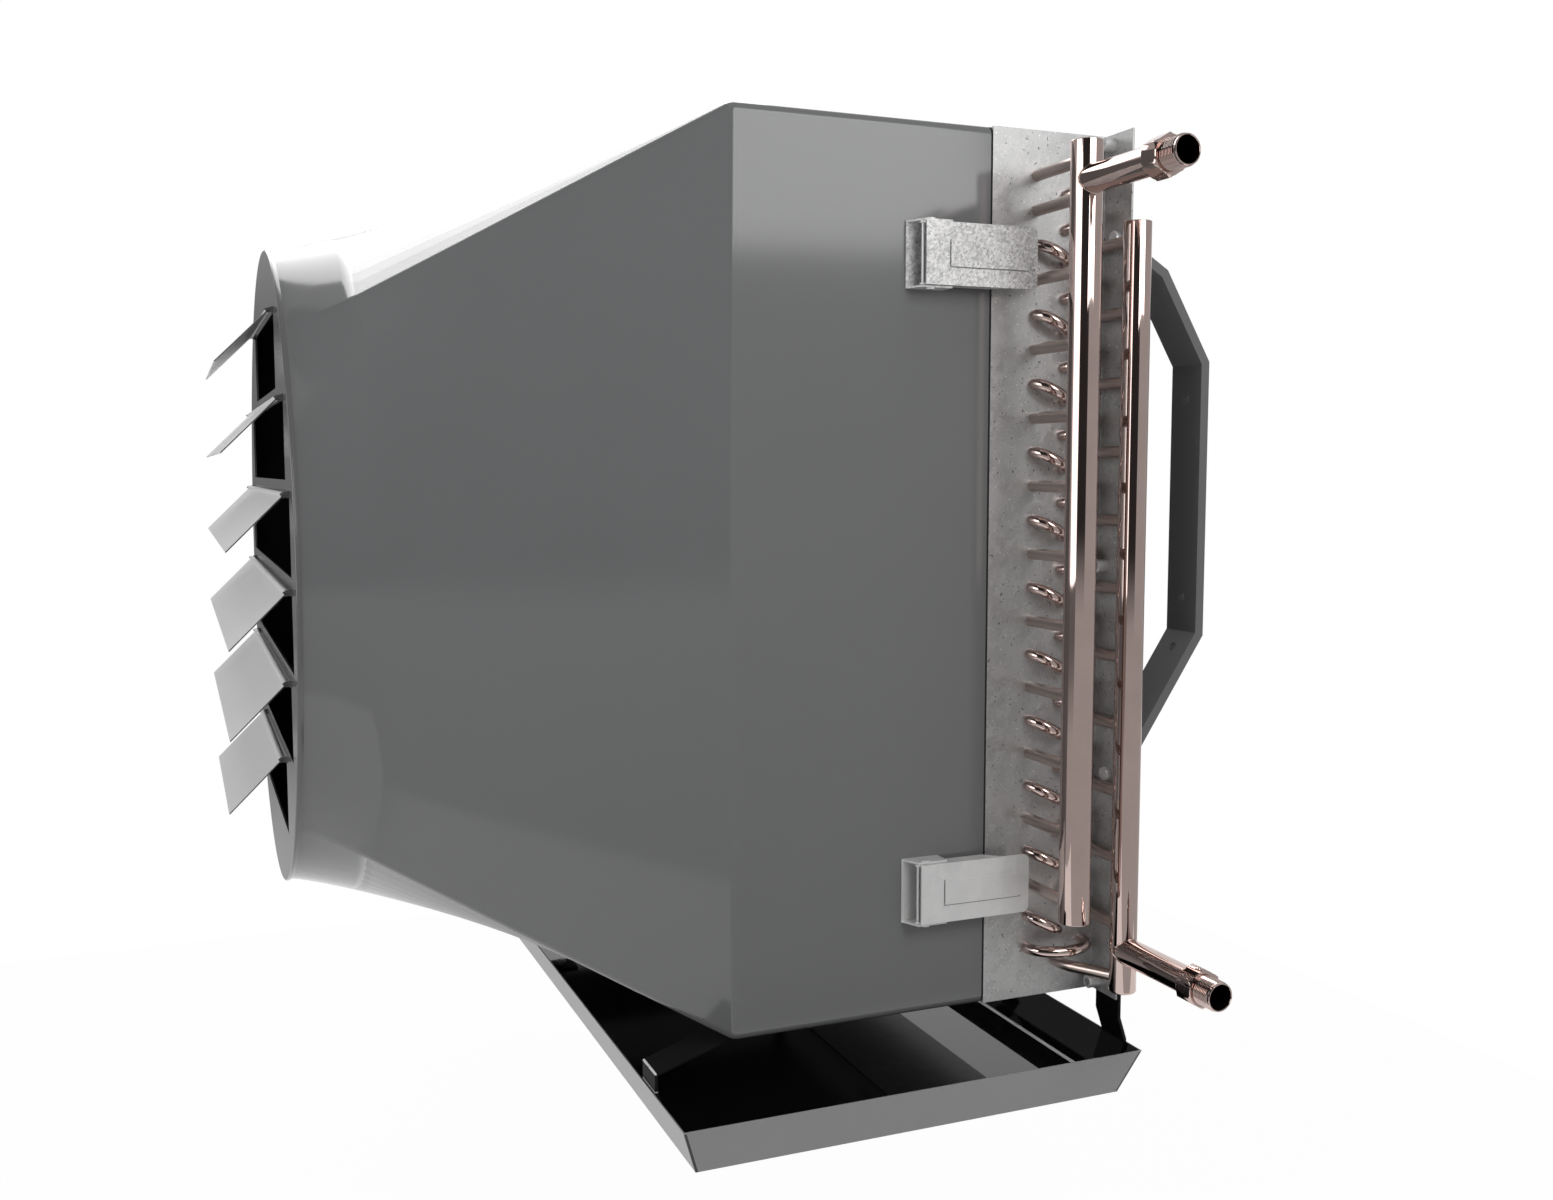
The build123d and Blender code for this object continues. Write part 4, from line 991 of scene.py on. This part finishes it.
def make_fins():
    lowest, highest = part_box("fin_pack")
    pitch = 2.9 * MM
    ripple = 0.45 * MM
    thickness = 0.25 * MM
    samples = 13
    builder = bmesh.new()
    rows = []
    for z in (lowest.z, highest.z):
        for side in (-0.5, 0.5):
            row = []
            for i in range(samples):
                y = lowest.y + (highest.y - lowest.y) * i / (samples - 1)
                x = ripple * (1 if i % 2 else -1) * (0 if i in (0, samples - 1) else 1)
                row.append(builder.verts.new((x + side * thickness, y, z)))
            rows.append(row)
    a, b, c, d = rows
    for i in range(samples - 1):
        builder.faces.new((a[i], a[i + 1], c[i + 1], c[i]))
        builder.faces.new((b[i], d[i], d[i + 1], b[i + 1]))
        builder.faces.new((a[i], b[i], b[i + 1], a[i + 1]))
        builder.faces.new((c[i], c[i + 1], d[i + 1], d[i]))
    for end in (0, -1):
        builder.faces.new((a[end], c[end], d[end], b[end]))
    bmesh.ops.recalc_face_normals(builder, faces=builder.faces)
    fin = from_bmesh("fin_pattern", builder)
    count = int((highest.x - lowest.x) / pitch)
    start = (-(count - 1) * pitch / 2, 0, 0)
    holder = bpy.data.objects.new("coil_fins", bpy.data.meshes.new("coil_fins"))
    bpy.context.scene.collection.objects.link(holder)
    obj = fin_recipe().run(holder, Fin=fin, Count=count, Start=start, Step=(pitch, 0, 0), Finish=FIN_METAL)
    bpy.data.objects.remove(fin)
    dress(obj, None, BODY, ["fin_pack"], 20)
    inner = side_x - 2 * MM
    straight = [
        [Vector((-inner, row_y[row], tube_z(row, n))), Vector((inner, row_y[row], tube_z(row, n)))]
        for row in range(3)
        for n in range(TUBES_PER_ROW)
    ]
    tubes("coil_straight_tubes", straight, COPPER, (), TUBE_RADIUS, 12)


# Screws
NUT_ACROSS = 13 * MM
NUT_HEIGHT = 6.5 * MM
HEAD_HEIGHT = 5.5 * MM
SHANK_RADIUS = 4 * MM
STUD_LENGTH = 12 * MM
FORWARD = (-pi / 2, 0, 0)
BACKWARD = (pi / 2, 0, 0)
DOWNWARD = (pi, 0, 0)


def hex_head(name, height, shank=0.0):
    """Hexagonal head or nut standing on its own XY plane, chamfered, with the end of its shank."""
    half = NUT_ACROSS / 2
    profile = [
        (0, 0),
        (half * 0.98, 0),
        (half * 1.13, 0.8 * MM),
        (half * 1.13, height - 0.9 * MM),
        (half * 0.94, height),
        (SHANK_RADIUS, height),
        (SHANK_RADIUS, height + shank),
        (0, height + shank + 0.5 * MM),
    ]
    head = turned(name, profile, 36)
    flats(head, half)
    return head


def hollow_stud(name):
    """Round stud that shows its hollow end."""
    outer, bore = 6.5 * MM, 4 * MM
    profile = [
        (bore, 0),
        (bore, 8 * MM),
        (0, 8.4 * MM),
        (0, STUD_LENGTH + 0.5 * MM),
        (outer, STUD_LENGTH),
        (outer, 0.8 * MM),
        (outer - 0.7 * MM, 0),
        (bore, 0),
    ]
    return turned(name, profile, 32)


def make_flange_screws():
    """Three studs through each rear flange, with their nuts behind it; the lowest hold the straps too."""
    flange_front = casing_back - 2 * MM
    lowest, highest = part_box("flange_screws")
    x = highest.x - NUT_ACROSS / 2 / cos(pi / 6)
    low_z, high_z = lowest.z + NUT_ACROSS / 2, highest.z - NUT_ACROSS / 2
    near_middle = case_middle + 7 * MM
    far_middle = (tube_z(2, 10) + tube_z(2, 11)) / 2
    studs, nuts = [], []
    for sign, middle_z in ((1, near_middle), (-1, far_middle)):
        for z in (low_z, middle_z, high_z):
            behind = STRAP_SHEET if z == low_z else 0
            studs.append((Vector((sign * x, flange_front - STUD_LENGTH, z)), FORWARD))
            nuts.append((Vector((sign * x, casing_back + behind, z)), FORWARD))
    stud, nut = hollow_stud("stud_pattern"), hex_head("nut_pattern", NUT_HEIGHT, 0.4 * MM)
    scatter("flange_studs", stud, studs, SCREW_ZINC, ["flange_screws"])
    scatter("flange_nuts", nut, nuts, SCREW_ZINC)


def make_bolts():
    """Bolts that hold the wall brackets to the flanges, and the two front straps to the case."""
    flange_front = casing_back - 2 * MM
    bracket_back = casing_back + 9 * MM
    from_end = 7.5 * MM
    lowest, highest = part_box("bracket_bolts")
    x = middle("wall_bracket_near").x
    bolts = []
    for sign in (1, -1):
        for z in (lowest.z + from_end, highest.z - from_end):
            bolts.append((Vector((sign * x, flange_front, z)), BACKWARD))
            bolts.append((Vector((sign * x, bracket_back, z)), FORWARD))
    head = hex_head("bolt_pattern", HEAD_HEIGHT)
    scatter("bracket_bolt_heads", head, bolts, SCREW_ZINC, ["bracket_bolts"])

    x, y = middle("front_strap_near").x, middle("strap_screws").y
    places = [(Vector((sign * x, y, case_bottom - STRAP_SHEET)), DOWNWARD) for sign in (1, -1)]
    head = hex_head("strap_screw_pattern", HEAD_HEIGHT)
    scatter("strap_screw_heads", head, places, SCREW_ZINC, ["strap_screws"])


make_housing()
make_tube_work()
make_headers()
make_fins()
make_flange_screws()
make_bolts()
make_outlet_plate()

for louvre in LOUVRES:
    eased_copy(louvre, LOUVRE_GREY, 0.3 * MM)
for end in ("near", "far"):
    eased_copy(f"coil_end_plate_{end}", CASING_ZINC, 0.6 * MM)
    eased_copy(f"wall_bracket_{end}", BRACKET_GREY, 1.0 * MM)
    eased_copy(f"front_strap_{end}", STRAP_BLACK, 0.6 * MM)
    eased_copy(f"rear_strap_{end}", BLACK_ENAMEL, 0.6 * MM)
    for level, zinc in (("upper", LATCH_ZINC), ("lower", PLAIN_LATCH)):
        for member in ("base", "lever", "keeper"):
            eased_copy(f"latch_{member}_{level}_{end}", zinc, 0.5 * MM)
        paint_node(f"latch_bail_{level}_{end}", SCREW_ZINC)
for sheet in ("coil_top_sheet", "coil_bottom_sheet"):
    eased_copy(sheet, CASING_ZINC, 0.5 * MM)
eased_copy("drain_pan", PAN_PAINT, 0.4 * MM)

OWN_SHAPE = {
    "drain_spout": PAN_PAINT,
    "seam_gasket": FOAM,
    "louvre_pins": PLATE_GREY,
    "latch_rivets": SCREW_ZINC,
    "fan_panel": CASE_GREY,
    "fan_hub": FAN_METAL,
    "fan_blades": FAN_METAL,
    "motor_shaft": SCREW_ZINC,
    "motor_body": MOTOR_BLACK,
    "motor_carrier": CARRIER_BLACK,
}
for node, finish in OWN_SHAPE.items():
    paint_node(node, finish)


# Studio: floor, sky, lamps and camera
FLOOR_GAP = 0.16
FLOOR_HALF = 1.0
FLOOR_GREY = 0.8
FLOOR_WHITE = 0.975
ROOM_LEVEL = 0.48

# Each lamp's place, the way it faces, its width and height, and the brightness of its face
LAMPS = {
    "right_soft_box": ((2.06, 0.105, 1.05), (-0.985, -0.171, 0), 1.29, 1.14, 4.4),
    "left_soft_box": ((0.665, -2.625, 0.45), (-0.04, 1, 0), 2.23, 1.5, 2.4),
    "back_soft_box": ((-1.62, -0.54, 1.45), (0.8187, -0.0286, -0.574), 2.0, 1.5, 2.75),
}

# The photograph's camera
CAMERA_PLACE = Vector((1.5822, -0.9180, 0.0293))
CAMERA_SIGHT = Vector((-0.92079, 0.37989, -0.08851))
CAMERA_ROLL = radians(-0.049)
LEVEL_SIGHT = (-0.924, 0.382)
SENSOR_WIDTH = 36.0
LENS = 34.107


class LightPaths:
    """Which rays see the white backdrop: the camera's, and those mirrored or let through."""

    def __init__(self, paint):
        outputs = paint.tree.nodes.new("ShaderNodeLightPath").outputs
        self.camera = Signal(paint, outputs["Is Camera Ray"])
        glossy = Signal(paint, outputs["Is Glossy Ray"])
        self.mirrored = glossy.most(Signal(paint, outputs["Is Transmission Ray"]))
        self.seen = self.camera.most(self.mirrored)


def add_stage():
    """Pale floor under the object, which shows almost white and keeps a faint shadow."""
    level = low("drain_spout").z - FLOOR_GAP
    builder = bmesh.new()
    corners = [(-1, -1), (1, -1), (1, 1), (-1, 1)]
    centre_y = middle("drain_pan").y
    verts = [builder.verts.new((x * FLOOR_HALF, centre_y + y * FLOOR_HALF, level)) for x, y in corners]
    builder.faces.new(verts)
    floor = from_bmesh("studio_floor", builder)
    material, paint = new_paint("pale_floor")
    pale = paint.node("ShaderNodeBsdfDiffuse", {}, {"Color": grey(FLOOR_GREY)})
    white = paint.node("ShaderNodeEmission", {}, {"Color": grey(1.0), "Strength": 1.0})
    shown = paint.node("ShaderNodeMixShader", {}, [LightPaths(paint).seen * FLOOR_WHITE, pale, white])
    paint.node("ShaderNodeOutputMaterial", {}, [shown])
    floor.data.materials.append(material)


def between(bearing, start, end, soft):
    """1 between two bearings, all three in degrees."""
    return window(bearing, radians(start), radians(end), radians(soft))


def add_sky():
    """White backdrop for the camera and behind the object, and a grey room with dark flags round it."""
    world = bpy.data.worlds.new("studio_sky")
    bpy.context.scene.world = world
    world.use_nodes = True
    paint = Paint(world)
    direction = paint.node("ShaderNodeTexCoord", output="Generated")
    split = paint.node("ShaderNodeSeparateXYZ", {}, [direction]).socket.node.outputs
    x, y, z = (Signal(paint, socket) for socket in split)
    bearing = paint.node("ShaderNodeMath", {"operation": "ARCTAN2"}, [y, x])

    # Flags: level with the object round its far side, tall in front of the near side, high at the outlet
    side_flag = (1 - between(bearing, -62, 158, 2)) * window(z, -0.2, 0.14, 0.06)
    middle_flag = between(bearing, -62, -1, 1.5) * window(z, -0.08, 0.8, 0.05)
    high_flag = between(bearing, -135, -62, 2) * window(z, 0.45, 0.95, 0.03)
    level = (1 - side_flag * 0.65) * (1 - middle_flag * 0.93) * ROOM_LEVEL * (1 - high_flag * 0.9)

    # The backdrop: mirrored only past the object, and not low down beyond the outlet plate
    past_plate = (1 - bearing.eased(-0.02, 0.02)) * (1 - z.eased(0.15, 0.3))
    behind = (x * LEVEL_SIGHT[0] + y * LEVEL_SIGHT[1]).eased(0.72, 0.8) * (1 - past_plate)
    light = LightPaths(paint)
    level = level + light.mirrored * behind * (1 - level)
    level = level + light.camera * (1 - level)
    colour = paint.node("ShaderNodeCombineColor", {}, [level, level, level])
    lit = paint.node("ShaderNodeBackground", {}, {"Color": colour, "Strength": 1.0})
    paint.node("ShaderNodeOutputWorld", {}, [lit])


def add_lamp(name, centre, aim, width, height, brightness):
    """A soft box whose face has the given brightness, wherever it is seen in the metal."""
    data = bpy.data.lights.new(name, "AREA")
    data.shape = "RECTANGLE"
    data.size, data.size_y = width, height
    data.energy = brightness * pi * width * height
    lamp = bpy.data.objects.new(name, data)
    turn = Vector(aim).to_track_quat("-Z", "Y").to_matrix().to_4x4()
    lamp.matrix_world = Matrix.Translation(centre) @ turn
    lamp.visible_camera = False
    bpy.context.scene.collection.objects.link(lamp)


def add_camera():
    """At the photograph's viewing angle."""
    data = bpy.data.cameras.new("camera")
    data.sensor_width = SENSOR_WIDTH
    data.lens = LENS
    camera = bpy.data.objects.new("camera", data)
    turn = CAMERA_SIGHT.to_track_quat("-Z", "Y").to_matrix() @ Matrix.Rotation(CAMERA_ROLL, 3, "Z")
    camera.matrix_world = Matrix.Translation(CAMERA_PLACE) @ turn.to_4x4()
    bpy.context.scene.collection.objects.link(camera)
    bpy.context.scene.camera = camera


add_stage()
add_sky()
for name, settings in LAMPS.items():
    add_lamp(name, *settings)
add_camera()
bpy.context.scene.view_settings.view_transform = "Standard"
